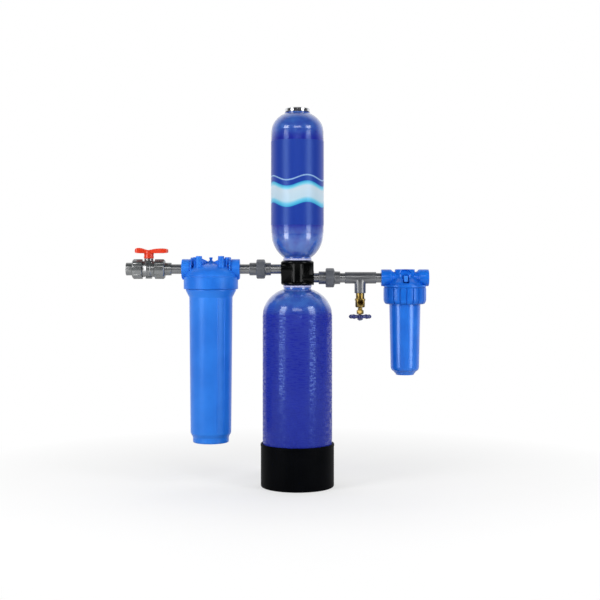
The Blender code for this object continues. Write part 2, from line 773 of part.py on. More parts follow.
def make_risers():
    """Each tank's riser runs from its boss in the connector to a basket at the tank's far end."""
    web_z = (INLET_Z + OUTLET_Z) / 2
    upper_start = web_z + CHAMBER_WEB / 2 + GAP
    upper_end = upper_start + UPPER_RISER_LENGTH
    part(tube("upper_riser_tube", RISER_R, RISER_R - RISER_WALL, upper_end, upper_start, SMALL_SIDES), NATURAL, 0.5)
    basket("upper_distributor", upper_end - BASKET_COLLAR_H + GAP, UP)
    lower_start = web_z - CHAMBER_WEB / 2 - GAP
    floor = lower_tank_inside(GAP)[0]
    lower_end = height_at(floor, BASKET_R) + BASKET_H
    part(tube("lower_riser_tube", RISER_R, RISER_R - RISER_WALL, lower_start, lower_end - BASKET_COLLAR_H + GAP,
              SMALL_SIDES), NATURAL, 0.5)
    basket("lower_distributor", lower_end, DOWN)


def make_media():
    """The beds of carbon and scale media, which fill the tanks to below their top domes."""
    riser_bore = RISER_R + TURNING_GAP
    low, high = upper_tank_inside(GAP)
    top = UPPER_BEND_Z + UPPER_MEDIA_H
    radius = high[0][0]
    floor_z = CONNECTOR_TOP_Z + SPIGOT_LENGTH + GAP
    slope = [point for point in low[::-1] if point[1] > floor_z] + [(radius_at(low, floor_z), floor_z)]
    outline = [(riser_bore, top), (radius, top)] + slope + [(riser_bore, floor_z)]
    part(turned("upper_media", outline, TANK_SIDES // 2), CARBON, 0.9)
    low, high = lower_tank_inside(GAP)
    top = LOWER_BEND_Z + LOWER_MEDIA_H
    pocket_r = BASKET_R + TURNING_GAP
    slope = [point for point in low[::-1] if point[0] > pocket_r]
    mouth = [(pocket_r, height_at(low, pocket_r))]
    pocket_top = TANK_BOTTOM_Z + BASKET_H + LOWER_WALL + BASKET_COLLAR_H
    outline = [(riser_bore, top), (high[0][0], top)] + slope + mouth + [
        (pocket_r, pocket_top), (riser_bore, pocket_top),
    ]
    part(turned("lower_media", outline, TANK_SIDES // 2), CARBON, 0.9)


def riser_chamber(name, length, floor_z, axis):
    """The hollow of a tank's chamber, round the boss that holds its riser."""
    socket_r = RISER_R + GAP
    outline = [
        (0, length), (CHAMBER_R, length), (CHAMBER_R, 0), (RISER_BOSS_R, 0), (RISER_BOSS_R, RISER_BOSS_H),
        (socket_r, RISER_BOSS_H), (socket_r, 0), (0, 0),
    ]
    return turned(name, outline, SMALL_SIDES, UP * floor_z, axis)


def make_connector():
    """The black head between the tanks: a column and two port bosses on a block, between two flanges, with a
    chamber for each tank."""
    place = UP * CONNECTOR_Z
    spigot_r = NECK_BORE_R - THREAD_CLEARANCE
    rim_z = CONNECTOR_H - FLANGE_RIM_H
    outline = [
        (0, CONNECTOR_H + SPIGOT_LENGTH), (spigot_r, CONNECTOR_H + SPIGOT_LENGTH), (spigot_r, CONNECTOR_H),
        (NECK_RING_R, CONNECTOR_H), (FLANGE_R, rim_z), (FLANGE_R, CONNECTOR_H - FLANGE_H),
        (COLUMN_R, CONNECTOR_H - FLANGE_H), (COLUMN_R, FLANGE_H), (FLANGE_R, FLANGE_H), (FLANGE_R, FLANGE_RIM_H),
        (NECK_RING_R, 0), (spigot_r, 0), (spigot_r, -SPIGOT_LENGTH), (0, -SPIGOT_LENGTH),
    ]
    body = turned("tank_connector", outline, CONNECTOR_SIDES, place)
    block_reach = CONNECTOR_HALF_WIDTH - CONNECTOR_PORT_LIP
    core = block(
        "connector_block", (-block_reach, -CONNECTOR_HALF_DEPTH, FLANGE_RIM_H),
        (block_reach, CONNECTOR_HALF_DEPTH, rim_z), place, CONNECTOR_CORNER,
    )
    inlet = UP * INLET_Z
    outlet = UP * OUTLET_Z
    reach = CONNECTOR_HALF_WIDTH
    bosses = [
        rod("connector_inlet_boss", CONNECTOR_PORT_R, reach, 0, FITTING_SIDES, inlet, LEFT),
        rod("connector_outlet_boss", CONNECTOR_PORT_R, reach, 0, FITTING_SIDES, outlet, RIGHT),
    ]
    join(body, core, *bosses)
    web_low = (INLET_Z + OUTLET_Z - CHAMBER_WEB) / 2
    web_high = web_low + CHAMBER_WEB
    high_end = CONNECTOR_TOP_Z + SPIGOT_LENGTH + OVERRUN
    low_end = CONNECTOR_Z - SPIGOT_LENGTH - OVERRUN
    chambers = [
        riser_chamber("upper_chamber", high_end - web_high, web_high, UP),
        riser_chamber("lower_chamber", web_low - low_end, web_low, DOWN),
    ]
    cut(body, *chambers)
    stop = reach - SOCKET_DEPTH
    steps = [(SOCKET_BORE_R, stop), (PIPE_BORE_R, RISER_BOSS_R + GAP)]
    cut(
        body,
        stepped("inlet_port", reach + OVERRUN, steps, PIPE_SIDES, inlet, LEFT),
        stepped("outlet_port", reach + OVERRUN, steps, PIPE_SIDES, outlet, RIGHT),
    )
    part(body, BLACK, 0.2)


def make_valve_body():
    half = VALVE_BODY_HALF
    threaded = half + VALVE_THREAD_LENGTH
    outline = [
        (0, threaded), (VALVE_THREAD_R, threaded), (VALVE_THREAD_R, half), (VALVE_BODY_R, half),
        (VALVE_BODY_R, VALVE_BAND_HALF), (VALVE_BAND_R, VALVE_BAND_HALF), (VALVE_BAND_R, -VALVE_BAND_HALF),
        (VALVE_BODY_R, -VALVE_BAND_HALF), (VALVE_BODY_R, -half), (VALVE_THREAD_R, -half),
        (VALVE_THREAD_R, -threaded), (0, -threaded),
    ]
    body = turned("valve_body", outline, FITTING_SIDES, VALVE_PLACE, RIGHT)
    neck = turned(
        "valve_neck",
        [(0, VALVE_NECK_TOP), (VALVE_NECK_R, VALVE_NECK_TOP), (VALVE_NECK_FOOT_R, BALL_R), (0, BALL_R)],
        FITTING_SIDES, VALVE_PLACE,
    )
    foot_low = -VALVE_BODY_R - VALVE_FOOT_H
    foot = block(
        "valve_foot", (-VALVE_FOOT_WIDTH / 2, -VALVE_FOOT_DEPTH / 2, foot_low),
        (VALVE_FOOT_WIDTH / 2, VALVE_FOOT_DEPTH / 2, -BALL_R), VALVE_PLACE,
    )
    join(body, neck, foot)
    bore = rod("valve_bore", SEAT_R + GAP, threaded + OVERRUN, -threaded - OVERRUN, FITTING_SIDES, VALVE_PLACE, RIGHT)
    stem_way = rod("stem_way", STEM_R + SHAFT_GAP, VALVE_NECK_TOP + OVERRUN, 0, SMALL_SIDES, VALVE_PLACE)
    cut(body, bore, stem_way)
    part(body, GREY_PVC, 0.35)


def make_valve_ends():
    """The union tails, the nuts that hold them on the body's threads, and the ball's two seats."""
    start = VALVE_BODY_HALF + VALVE_THREAD_LENGTH + GAP
    flange_end = start + VALVE_FLANGE_H
    nut_start = VALVE_BODY_HALF + GAP
    nut_end = nut_start + VALVE_NUT_LENGTH
    seat_start = math.sqrt(BALL_R ** 2 - PIPE_BORE_R ** 2) + GAP
    for side, axis in (("inlet", LEFT), ("outlet", RIGHT)):
        mouth = VALVE_PLACE + axis * VALVE_HALF_LENGTH
        length = VALVE_HALF_LENGTH - start
        flange_r = VALVE_THREAD_R
        socket = socket_tube(
            "valve_" + side + "_end", SOCKET_R, length, mouth, -axis,
            [(PIPE_BORE_R, length), (flange_r, length), (flange_r, length - VALVE_FLANGE_H),
             (SOCKET_R, length - VALVE_FLANGE_H)],
        )
        part(socket, GREY_PVC, 0.35)
        outline = lugged_outline(VALVE_NUT_R, VALVE_NUT_LUG, VALVE_NUT_LUGS, VALVE_NUT_LUG_SHARE)
        levels = [(nut_start, 0), (nut_end - VALVE_NUT_BEVEL, 0), (nut_end, VALVE_NUT_BEVEL)]
        nut = raised("valve_" + side + "_nut", outline, levels, VALVE_PLACE, axis)
        steps = [(SOCKET_R + TURNING_GAP, flange_end + GAP), (VALVE_THREAD_R + TURNING_GAP, nut_start - OVERRUN)]
        cut(nut, stepped(side + "_nut_bore", nut_end + OVERRUN, steps, FITTING_SIDES, VALVE_PLACE, axis))
        part(nut, GREY_PVC, 0.35)
        seat = tube(side + "_ball_seat", SEAT_R, PIPE_BORE_R, seat_start + SEAT_LENGTH, seat_start, FITTING_SIDES,
                    VALVE_PLACE, axis)
        part(seat, NATURAL, 0.4)


def make_ball_and_stem():
    mesh = bpy.data.meshes.new("valve_ball")
    shape = bmesh.new()
    bmesh.ops.create_uvsphere(shape, u_segments=BALL_SEGMENTS, v_segments=BALL_RINGS, radius=BALL_R)
    shape.to_mesh(mesh)
    shape.free()
    ball = bpy.data.objects.new("valve_ball", mesh)
    ball.location = VALVE_PLACE
    slot_low = BALL_R - TANG_H - GAP
    slot_half = (TANG_WIDTH / 2 + GAP, TANG_THICKNESS / 2 + GAP)
    cut(
        ball,
        rod("ball_way", PIPE_BORE_R, BALL_R + OVERRUN, -BALL_R - OVERRUN, PIPE_SIDES, VALVE_PLACE, RIGHT),
        block("ball_slot", (-slot_half[0], -slot_half[1], slot_low), (slot_half[0], slot_half[1], BALL_R + OVERRUN),
              VALVE_PLACE),
    )
    part(ball, NATURAL, 0.2)
    hub_low = VALVE_NECK_TOP + GAP
    stem = rod("valve_stem", STEM_R, VALVE_NECK_TOP, BALL_R + GAP, SMALL_SIDES, VALVE_PLACE)
    join(
        stem,
        block("stem_tang", (-TANG_WIDTH / 2, -TANG_THICKNESS / 2, BALL_R - TANG_H),
              (TANG_WIDTH / 2, TANG_THICKNESS / 2, BALL_R + OVERRUN), VALVE_PLACE),
        block("stem_drive", (-DRIVE_WIDTH / 2, -DRIVE_WIDTH / 2, VALVE_NECK_TOP - GAP),
              (DRIVE_WIDTH / 2, DRIVE_WIDTH / 2, hub_low + DRIVE_H), VALVE_PLACE),
    )
    part(stem, GREY_PVC, 0.35)
    make_handle(VALVE_PLACE + UP * hub_low)


def make_handle(place):
    """The two-armed handle: a side view of the arms, rounded, on a round hub with a square socket."""
    under = HANDLE_UNDERSIDE
    profile = [
        (-HANDLE_SHORT_ARM, under + HANDLE_ROUNDING), (-HANDLE_SHORT_ARM + HANDLE_ROUNDING, under),
        (-HANDLE_HUB_R, under), (HANDLE_HUB_R, under), (HANDLE_LONG_ARM - HANDLE_ROUNDING, under),
        (HANDLE_LONG_ARM, under + HANDLE_ROUNDING), (HANDLE_LONG_ARM - HANDLE_ROUNDING, HANDLE_SHORT_TOP),
        (HANDLE_SHORT_ARM, HANDLE_TOP), (HANDLE_HUB_R, HANDLE_DIP + HANDLE_ROUNDING), (0, HANDLE_DIP),
        (-HANDLE_HUB_R, HANDLE_SHORT_TOP), (-HANDLE_SHORT_ARM + HANDLE_ROUNDING, HANDLE_SHORT_TOP),
    ]
    arms = raised("handle_arms", profile, [(-HANDLE_HALF_DEPTH, 0), (HANDLE_HALF_DEPTH, 0)], place)
    arms.data.transform(Matrix.Rotation(QUARTER_TURN, 4, "X"))
    soften(arms, HANDLE_ROUNDING)
    hub = turned(
        "valve_handle",
        [(0, HANDLE_DIP), (HANDLE_HUB_R - HANDLE_ROUNDING, HANDLE_DIP), (HANDLE_HUB_R, HANDLE_HUB_H),
         (HANDLE_HUB_R, 0), (0, 0)],
        FITTING_SIDES, place,
    )
    join(hub, arms)
    half = DRIVE_WIDTH / 2 + GAP
    cut(hub, block("handle_socket", (-half, -half, -OVERRUN), (half, half, DRIVE_H + GAP), place))
    part(hub, SIGNAL_RED, 0.4)


def make_union(prefix, start_x, height):
    """A union along +X: a flanged socket end, its nut, a threaded end and the O-ring between the two."""
    place = Vector((start_x, 0, height))
    flange_high = UNION_TAIL + UNION_NUT_LIP + UNION_FLANGE_H + GAP
    flange_low = flange_high - UNION_FLANGE_H
    flange_r = UNION_THREAD_R
    socket = socket_tube(
        prefix + "_union_socket", SOCKET_R, flange_high, place, RIGHT,
        [(PIPE_BORE_R, flange_high), (flange_r, flange_high), (flange_r, flange_low), (SOCKET_R, flange_low)],
    )
    part(socket, GREY_PVC, 0.35)
    seal_space = 2 * (UNION_O_RING_CORD_R + GAP)
    length = UNION_LENGTH - flange_high - seal_space
    thread_length = UNION_TAIL + UNION_NUT_LENGTH - flange_high - seal_space - GAP
    mouth = place + RIGHT * UNION_LENGTH
    threaded = socket_tube(
        prefix + "_union_thread_end", SOCKET_R, length, mouth, LEFT,
        [(PIPE_BORE_R, length), (UNION_THREAD_R, length), (UNION_THREAD_R, length - thread_length),
         (SOCKET_R, length - thread_length)],
    )
    part(threaded, GREY_PVC, 0.35)
    seal = place + RIGHT * (flange_high + seal_space / 2)
    part(ring(prefix + "_union_o_ring", UNION_O_RING_R, UNION_O_RING_CORD_R, seal, RIGHT), RUBBER, 0.6)
    nut_place = place + RIGHT * UNION_TAIL
    high = UNION_NUT_LENGTH
    outline = [
        (0, high), (UNION_NUT_R - UNION_NUT_CHAMFER, high), (UNION_NUT_R, high - UNION_NUT_CHAMFER),
        (UNION_NUT_R, UNION_NUT_CHAMFER), (UNION_NUT_R - UNION_NUT_CHAMFER, 0), (0, 0),
    ]
    nut = turned(prefix + "_union_nut", outline, UNION_NUT_SIDES, nut_place, RIGHT)
    steps = [(UNION_THREAD_R + TURNING_GAP, UNION_NUT_LIP), (SOCKET_R + TURNING_GAP, -OVERRUN)]
    cut(nut, stepped(prefix + "_nut_bore", high + OVERRUN, steps, FITTING_SIDES, nut_place, RIGHT))
    part(nut, GREY_PVC, 0.35)


def make_pipes():
    pipe("inlet_pipe", VALVE_RIGHT_X, LID_LEFT_X, INLET_Z)
    pipe("prefilter_pipe", LID_RIGHT_X, INLET_UNION_X, INLET_Z)
    pipe("connector_inlet_pipe", INLET_UNION_END_X, -CONNECTOR_HALF_WIDTH, INLET_Z)
    pipe("connector_outlet_pipe", CONNECTOR_HALF_WIDTH, OUTLET_UNION_X, OUTLET_Z)
    pipe("tee_inlet_pipe", OUTLET_UNION_END_X, TEE_X, OUTLET_Z)
    pipe("tee_outlet_pipe", TEE_END_X, HEAD_LEFT_X, OUTLET_Z)


def lid_crown():
    """The lid's crown: a flat top that falls in a round shoulder to the collar."""
    fall = LID_CREST_Z - LID_COLLAR_TOP_Z
    crown = [(0, LID_CREST_Z)]
    for radius_share, height_share in LID_SHOULDER_SHARES:
        crown.append((LID_COLLAR_R * radius_share, LID_COLLAR_TOP_Z + fall * height_share))
    return crown


def make_lid():
    """The pre-filter lid: crown, threaded collar, two pipe ports, four bracket posts, ribs and button seat."""
    place = PREFILTER_PLACE
    skirt_top = LID_COLLAR_BOTTOM_Z + LID_THREAD_H
    outline = lid_crown() + [
        (LID_COLLAR_R, LID_COLLAR_TOP_Z), (LID_COLLAR_R, LID_COLLAR_BOTTOM_Z + LID_COLLAR_CHAMFER),
        (LID_COLLAR_R - LID_COLLAR_CHAMFER, LID_COLLAR_BOTTOM_Z), (0, LID_COLLAR_BOTTOM_Z),
    ]
    lid = turned("prefilter_lid", outline, HOUSING_SIDES, place)
    for name, axis in (("left", LEFT), ("right", RIGHT)):
        port_outline = [
            (0, LID_PORT_HALF), (LID_PORT_R - LID_PORT_RIM, LID_PORT_HALF),
            (LID_PORT_R, LID_PORT_HALF - LID_PORT_RIM), (LID_PORT_R, SIDE_PLATE_X - SIDE_PLATE_THICKNESS),
            (0, SIDE_PLATE_X - SIDE_PLATE_THICKNESS),
        ]
        join(lid, turned(name + "_lid_port", port_outline, FITTING_SIDES, place, axis))
    for sign in (-1, 1):
        plate = block(
            "side_plate", (-SIDE_PLATE_THICKNESS / 2, -SIDE_PLATE_HALF, RIB_BOTTOM_Z - LID_WALL),
            (SIDE_PLATE_THICKNESS / 2, SIDE_PLATE_HALF, SIDE_PLATE_TOP_Z), place + RIGHT * SIDE_PLATE_X * sign,
        )
        join(lid, plate)
    posts = [
        (FRONT_POST_X, -FRONT_POST_Y, POST_TOP_Z), (-FRONT_POST_X, -FRONT_POST_Y, POST_TOP_Z),
        (REAR_POST_X, REAR_POST_Y, POST_TOP_Z - REAR_POST_DROP),
        (-REAR_POST_X, REAR_POST_Y, POST_TOP_Z - REAR_POST_DROP),
    ]
    for x, y, top in posts:
        foot = place + Vector((x, y, 0))
        length = math.hypot(x, y)
        rib = block("lid_rib", (0, -RIB_THICKNESS / 2, RIB_BOTTOM_Z), (length, RIB_THICKNESS / 2, RIB_TOP_Z), place)
        rib.rotation_euler = (0, 0, math.atan2(y, x))
        join(lid, rod("bracket_post", POST_R, top, RIB_BOTTOM_Z - LID_WALL, SMALL_SIDES, foot), rib)
    button_seat_top = LID_CREST_Z + BUTTON_SEAT_H
    join(lid, rod("button_seat", BUTTON_SEAT_R, button_seat_top, RIB_BOTTOM_Z, SMALL_SIDES, place))
    cavity = turned(
        "lid_cavity",
        [(0, LID_CAVITY_TOP_Z), (LID_CAVITY_R * LID_SHOULDER_SHARES[1][0], LID_CAVITY_TOP_Z), (LID_CAVITY_R, skirt_top),
         (LID_SKIRT_R, skirt_top), (LID_SKIRT_R, LID_COLLAR_BOTTOM_Z - OVERRUN), (0, LID_COLLAR_BOTTOM_Z - OVERRUN)],
        HOUSING_SIDES, place,
    )
    cut(lid, cavity)
    join(
        lid,
        rod("lid_nipple", LID_NIPPLE_R, LID_CAVITY_TOP_Z + OVERRUN, LID_NIPPLE_Z, SMALL_SIDES, place),
        rod("outlet_channel", PIPE_BORE_R + LID_NIPPLE_WALL, LID_CAVITY_R, 0, SMALL_SIDES, place, RIGHT),
    )
    cut(lid, rod("nipple_way", LID_NIPPLE_R - LID_NIPPLE_WALL, 0, LID_NIPPLE_Z - OVERRUN, SMALL_SIDES, place))
    stop = LID_PORT_HALF - SOCKET_DEPTH
    for name, axis, end in (("left", LEFT, LID_CAVITY_R / 2), ("right", RIGHT, LID_NIPPLE_WALL)):
        steps = [(SOCKET_BORE_R, stop), (PIPE_BORE_R, end)]
        cut(lid, stepped("lid_" + name + "_way", LID_PORT_HALF + OVERRUN, steps, PIPE_SIDES, place, axis))
    for x, y, top in posts:
        foot = place + Vector((x, y, top))
        cut(lid, rod("bracket_hole", POST_HOLE_R, OVERRUN, -POST_HOLE_DEPTH, SMALL_SIDES, foot))
    cut(lid, rod("button_way", BUTTON_STEM_R + SHAFT_GAP, button_seat_top + OVERRUN, LID_CAVITY_TOP_Z / 2,
                 SMALL_SIDES, place))
    part(lid, HOUSING_BLUE, 0.35)
    low = BUTTON_TOP_Z - BUTTON_CAP_H
    button_outline = [
        (0, BUTTON_TOP_Z), (BUTTON_R, BUTTON_TOP_Z), (BUTTON_R, low), (BUTTON_STEM_R, low),
        (BUTTON_STEM_R, low - BUTTON_STEM_LENGTH), (0, low - BUTTON_STEM_LENGTH),
    ]
    part(turned("relief_button", button_outline, SMALL_SIDES, place), HOUSING_BLUE, 0.35)


def make_sump():
    neck_top = LID_COLLAR_BOTTOM_Z + LID_THREAD_H - 2 * (SUMP_O_RING_CORD_R + GAP)
    flange_top = LID_COLLAR_BOTTOM_Z - GAP
    flange_low = flange_top - SUMP_FLANGE_H
    body_top = flange_low - SUMP_CONE_H
    body_low = body_top - SUMP_STRAIGHT
    base_top = body_low - SUMP_CHAMFER_H
    bottom = base_top - SUMP_BASE_H - SUMP_BASE_ROUND
    wall = SUMP_WALL
    neck_bore = SUMP_NECK_R - wall
    outline = [
        (0, bottom + wall), (SUMP_BASE_R - wall, bottom + wall), (SUMP_BASE_R - wall, base_top),
        (SUMP_BOTTOM_R - wall, body_low), (SUMP_TOP_R - wall, body_top), (neck_bore, flange_low),
        (neck_bore, neck_top), (SUMP_NECK_R, neck_top), (SUMP_NECK_R, flange_top), (SUMP_FLANGE_R, flange_top),
        (SUMP_FLANGE_R, flange_low), (SUMP_TOP_R, body_top), (SUMP_BOTTOM_R, body_low), (SUMP_BASE_R, base_top),
        (SUMP_BASE_R, bottom + SUMP_BASE_ROUND), (SUMP_BASE_R - SUMP_BASE_ROUND, bottom), (0, bottom),
    ]
    sump = turned("prefilter_sump", outline, HOUSING_SIDES, PREFILTER_PLACE)
    taper = math.atan2(SUMP_TOP_R - SUMP_BOTTOM_R, SUMP_STRAIGHT)
    for degrees in SUMP_RIB_ANGLES:
        rib = block(
            "sump_rib", (-wall / 2, -SUMP_RIB_WIDTH / 2, -SUMP_STRAIGHT / 2),
            (SUMP_RIB_STAND, SUMP_RIB_WIDTH / 2, SUMP_STRAIGHT / 2),
        )
        middle = (SUMP_TOP_R + SUMP_BOTTOM_R) / 2
        rib.data.transform(Matrix.Translation((middle, 0, body_low + SUMP_STRAIGHT / 2))
                           @ Matrix.Rotation(taper, 4, "Y"))
        rib.rotation_euler = (0, 0, math.radians(degrees) - QUARTER_TURN)
        rib.location = PREFILTER_PLACE
        join(sump, rib)
    part(sump, HOUSING_BLUE, 0.3)
    seal_r = SUMP_NECK_R - wall / 2
    seal_z = neck_top + GAP + SUMP_O_RING_CORD_R
    seal = ring("prefilter_o_ring", seal_r, SUMP_O_RING_CORD_R, PREFILTER_PLACE + UP * seal_z)
    part(seal, RUBBER, 0.6)
    seat = [(SUMP_BASE_R - wall, base_top), (SUMP_BOTTOM_R - wall, body_low)]
    seat_z = cartridge_seat_z(seat, CARTRIDGE_R)
    cartridge("prefilter_cartridge", CARTRIDGE_R, CARTRIDGE_BORE_R, CARTRIDGE_H, PREFILTER_PLACE + UP * seat_z)


def cartridge_seat_z(slope, radius):
    """Where a cartridge's end cap rests on a sump's slope, clear of its facets as the sump turns."""
    cap_r = radius + CARTRIDGE_CAP_STAND
    return height_at(slope, cap_r / math.cos(math.pi / HOUSING_SIDES)) + GAP


def cartridge(name, radius, bore, height, place):
    """A filter cartridge: a sleeve of medium between two end caps, on an open core."""
    cap_r = radius + CARTRIDGE_CAP_STAND
    low, high = CARTRIDGE_CAP_H, height - CARTRIDGE_CAP_H
    outline = [
        (bore, height), (cap_r, height), (cap_r, high), (radius, high), (radius, low), (cap_r, low), (cap_r, 0),
        (bore, 0),
    ]
    part(turned(name, outline, FITTING_SIDES, place), NATURAL, 0.8)


def make_tee():
    run = Vector((TEE_X, 0, OUTLET_Z))
    outline = [
        (0, TEE_LENGTH), (TEE_R - SOCKET_RIM, TEE_LENGTH), (TEE_R, TEE_LENGTH - SOCKET_RIM), (TEE_R, SOCKET_RIM),
        (TEE_R - SOCKET_RIM, 0), (0, 0),
    ]
    tee = turned("tee", outline, PIPE_SIDES, run, RIGHT)
    branch_top = TEE_BRANCH_DROP
    branch = turned(
        "tee_branch",
        [(0, branch_top), (TEE_BRANCH_R, branch_top), (TEE_BRANCH_R, SOCKET_RIM), (TEE_BRANCH_R - SOCKET_RIM, 0),
         (0, 0)],
        PIPE_SIDES, DRAIN_PLACE,
    )
    join(tee, branch)
    far_stop = TEE_LENGTH - SOCKET_DEPTH
    run_steps = [(SOCKET_BORE_R, far_stop), (PIPE_BORE_R, SOCKET_DEPTH), (SOCKET_BORE_R, -OVERRUN)]
    branch_steps = [(DRAIN_SEAT_R, TEE_THREAD_DEPTH + GAP), (DRAIN_THREAD_R + GAP, -OVERRUN)]
    cut(
        tee,
        stepped("tee_run_way", TEE_LENGTH + OVERRUN, run_steps, PIPE_SIDES, run, RIGHT),
        stepped("tee_branch_way", TEE_BRANCH_DROP, branch_steps, PIPE_SIDES, DRAIN_PLACE),
    )
    part(tee, GREY_PVC, 0.35)


def make_drain_valve():
    """The brass drain valve: threaded neck, body with its spout, bonnet, packing nut, stem and handwheel."""
    place = DRAIN_PLACE
    neck_low = -DRAIN_NECK_H
    body_low = neck_low - DRAIN_BODY_H
    bonnet_low = body_low - DRAIN_BONNET_H
    outline = [
        (0, TEE_THREAD_DEPTH), (DRAIN_THREAD_R, TEE_THREAD_DEPTH), (DRAIN_THREAD_R, -GAP), (DRAIN_NECK_R, -GAP),
        (DRAIN_NECK_R, neck_low), (DRAIN_BODY_R, neck_low - GAP), (DRAIN_BODY_R, body_low + GAP),
        (DRAIN_BONNET_R, body_low), (DRAIN_BONNET_R, bonnet_low), (0, bonnet_low),
    ]
    body = turned("drain_valve_body", outline, PIPE_SIDES, place)
    wrench_flats = rod("wrench_flats", DRAIN_HEX_R, neck_low, neck_low - DRAIN_HEX_H, UNION_NUT_SIDES, place)
    spout_place = place + DOWN * DRAIN_SPOUT_DROP
    spout = rod("drain_spout", DRAIN_SPOUT_R, DRAIN_SPOUT_REACH, 0, PIPE_SIDES, spout_place, FRONT)
    join(body, wrench_flats, spout)
    chamber_low = body_low + GAP
    chamber_top = chamber_low + DRAIN_CHAMBER_H
    steps = [
        (DRAIN_SEAT_R, chamber_top), (DRAIN_CHAMBER_R, chamber_low), (DRAIN_STEM_R + SHAFT_GAP, bonnet_low - OVERRUN),
    ]
    cut(
        body,
        stepped("drain_way", TEE_THREAD_DEPTH + OVERRUN, steps, PIPE_SIDES, place),
        rod("drain_spout_way", DRAIN_SPOUT_BORE_R, DRAIN_SPOUT_REACH + OVERRUN, 0, PIPE_SIDES, spout_place, FRONT),
    )
    part(body, BRASS, 0.3, 1.0)
    nut_top = bonnet_low - GAP
    nut_low = nut_top - PACKING_NUT_H
    nut = rod("drain_packing_nut", PACKING_NUT_R, nut_top, nut_low, SMALL_SIDES // 2, place)
    cut(nut, rod("packing_way", DRAIN_STEM_R + SHAFT_GAP, nut_top + OVERRUN, nut_low - OVERRUN, SMALL_SIDES, place))
    part(nut, BRASS, 0.3, 1.0)
    washer_top = chamber_top - GAP
    washer_low = washer_top - DRAIN_WASHER_H
    part(rod("drain_seat_washer", DRAIN_WASHER_R, washer_top, washer_low, SMALL_SIDES, place), RUBBER, 0.6)
    disc_top = washer_low - GAP
    hub_low = -WHEEL_DROP - WHEEL_H / 2 - WHEEL_HUB_H / 2
    hub_top = hub_low + WHEEL_HUB_H
    screw_face = hub_low - GAP
    stem_low = hub_low + GAP
    stem_outline = [
        (0, disc_top), (DRAIN_DISC_R, disc_top), (DRAIN_DISC_R, disc_top - DRAIN_DISC_H),
        (DRAIN_STEM_R, disc_top - DRAIN_DISC_H), (DRAIN_STEM_R, stem_low), (0, stem_low),
    ]
    stem = turned("drain_stem", stem_outline, SMALL_SIDES, place)
    shank_top = screw_face + WHEEL_SCREW_SHANK
    cut(stem, rod("screw_way", WHEEL_SCREW_SHANK_R + GAP, shank_top + GAP, hub_low - OVERRUN, SMALL_SIDES, place))
    part(stem, BRASS, 0.3, 1.0)
    screw_outline = [
        (0, shank_top), (WHEEL_SCREW_SHANK_R, shank_top), (WHEEL_SCREW_SHANK_R, screw_face),
        (WHEEL_SCREW_R, screw_face), (WHEEL_SCREW_R, screw_face - WHEEL_SCREW_H), (0, screw_face - WHEEL_SCREW_H),
    ]
    part(turned("handwheel_screw", screw_outline, SMALL_SIDES, place), STEEL, 0.3, 1.0)
    make_handwheel(place, hub_top, hub_low)


def make_handwheel(place, hub_top, hub_low):
    """A lobed wheel with round windows, on a hub that the stem passes."""
    wheel_low = -WHEEL_DROP - WHEEL_H
    lobed = []
    for i in range(WHEEL_POINTS):
        angle = FULL_TURN * i / WHEEL_POINTS
        radius = WHEEL_R - WHEEL_LOBE * (1 - math.cos(WHEEL_LOBES * angle)) / 2
        lobed.append((radius * math.cos(angle), radius * math.sin(angle)))
    levels = [
        (wheel_low, WHEEL_ROUNDING), (wheel_low + WHEEL_ROUNDING, 0), (-WHEEL_DROP - WHEEL_ROUNDING, 0),
        (-WHEEL_DROP, WHEEL_ROUNDING),
    ]
    wheel = raised("drain_handwheel", lobed, levels, place)
    join(wheel, rod("wheel_hub", WHEEL_HUB_R, hub_top, hub_low, SMALL_SIDES, place))
    for offset, _ in around(WHEEL_HOLES, WHEEL_HOLE_RING_R):
        cut(wheel, rod("wheel_window", WHEEL_HOLE_R, OVERRUN - WHEEL_DROP, wheel_low - OVERRUN,
                       WHEEL_WINDOW_SIDES, place + offset))
    cut(wheel, rod("wheel_bore", DRAIN_STEM_R + SHAFT_GAP, hub_top + OVERRUN, hub_low - OVERRUN, SMALL_SIDES, place))
    part(wheel, WHEEL_BLUE, 0.4)


def flange_top_z():
    """Height of the top of the sump's flange, which lies on the ring nut's lip."""
    return RIM_TOP_Z - RIM_H - RING_H + RING_LIP_H + POST_SUMP_FLANGE_H


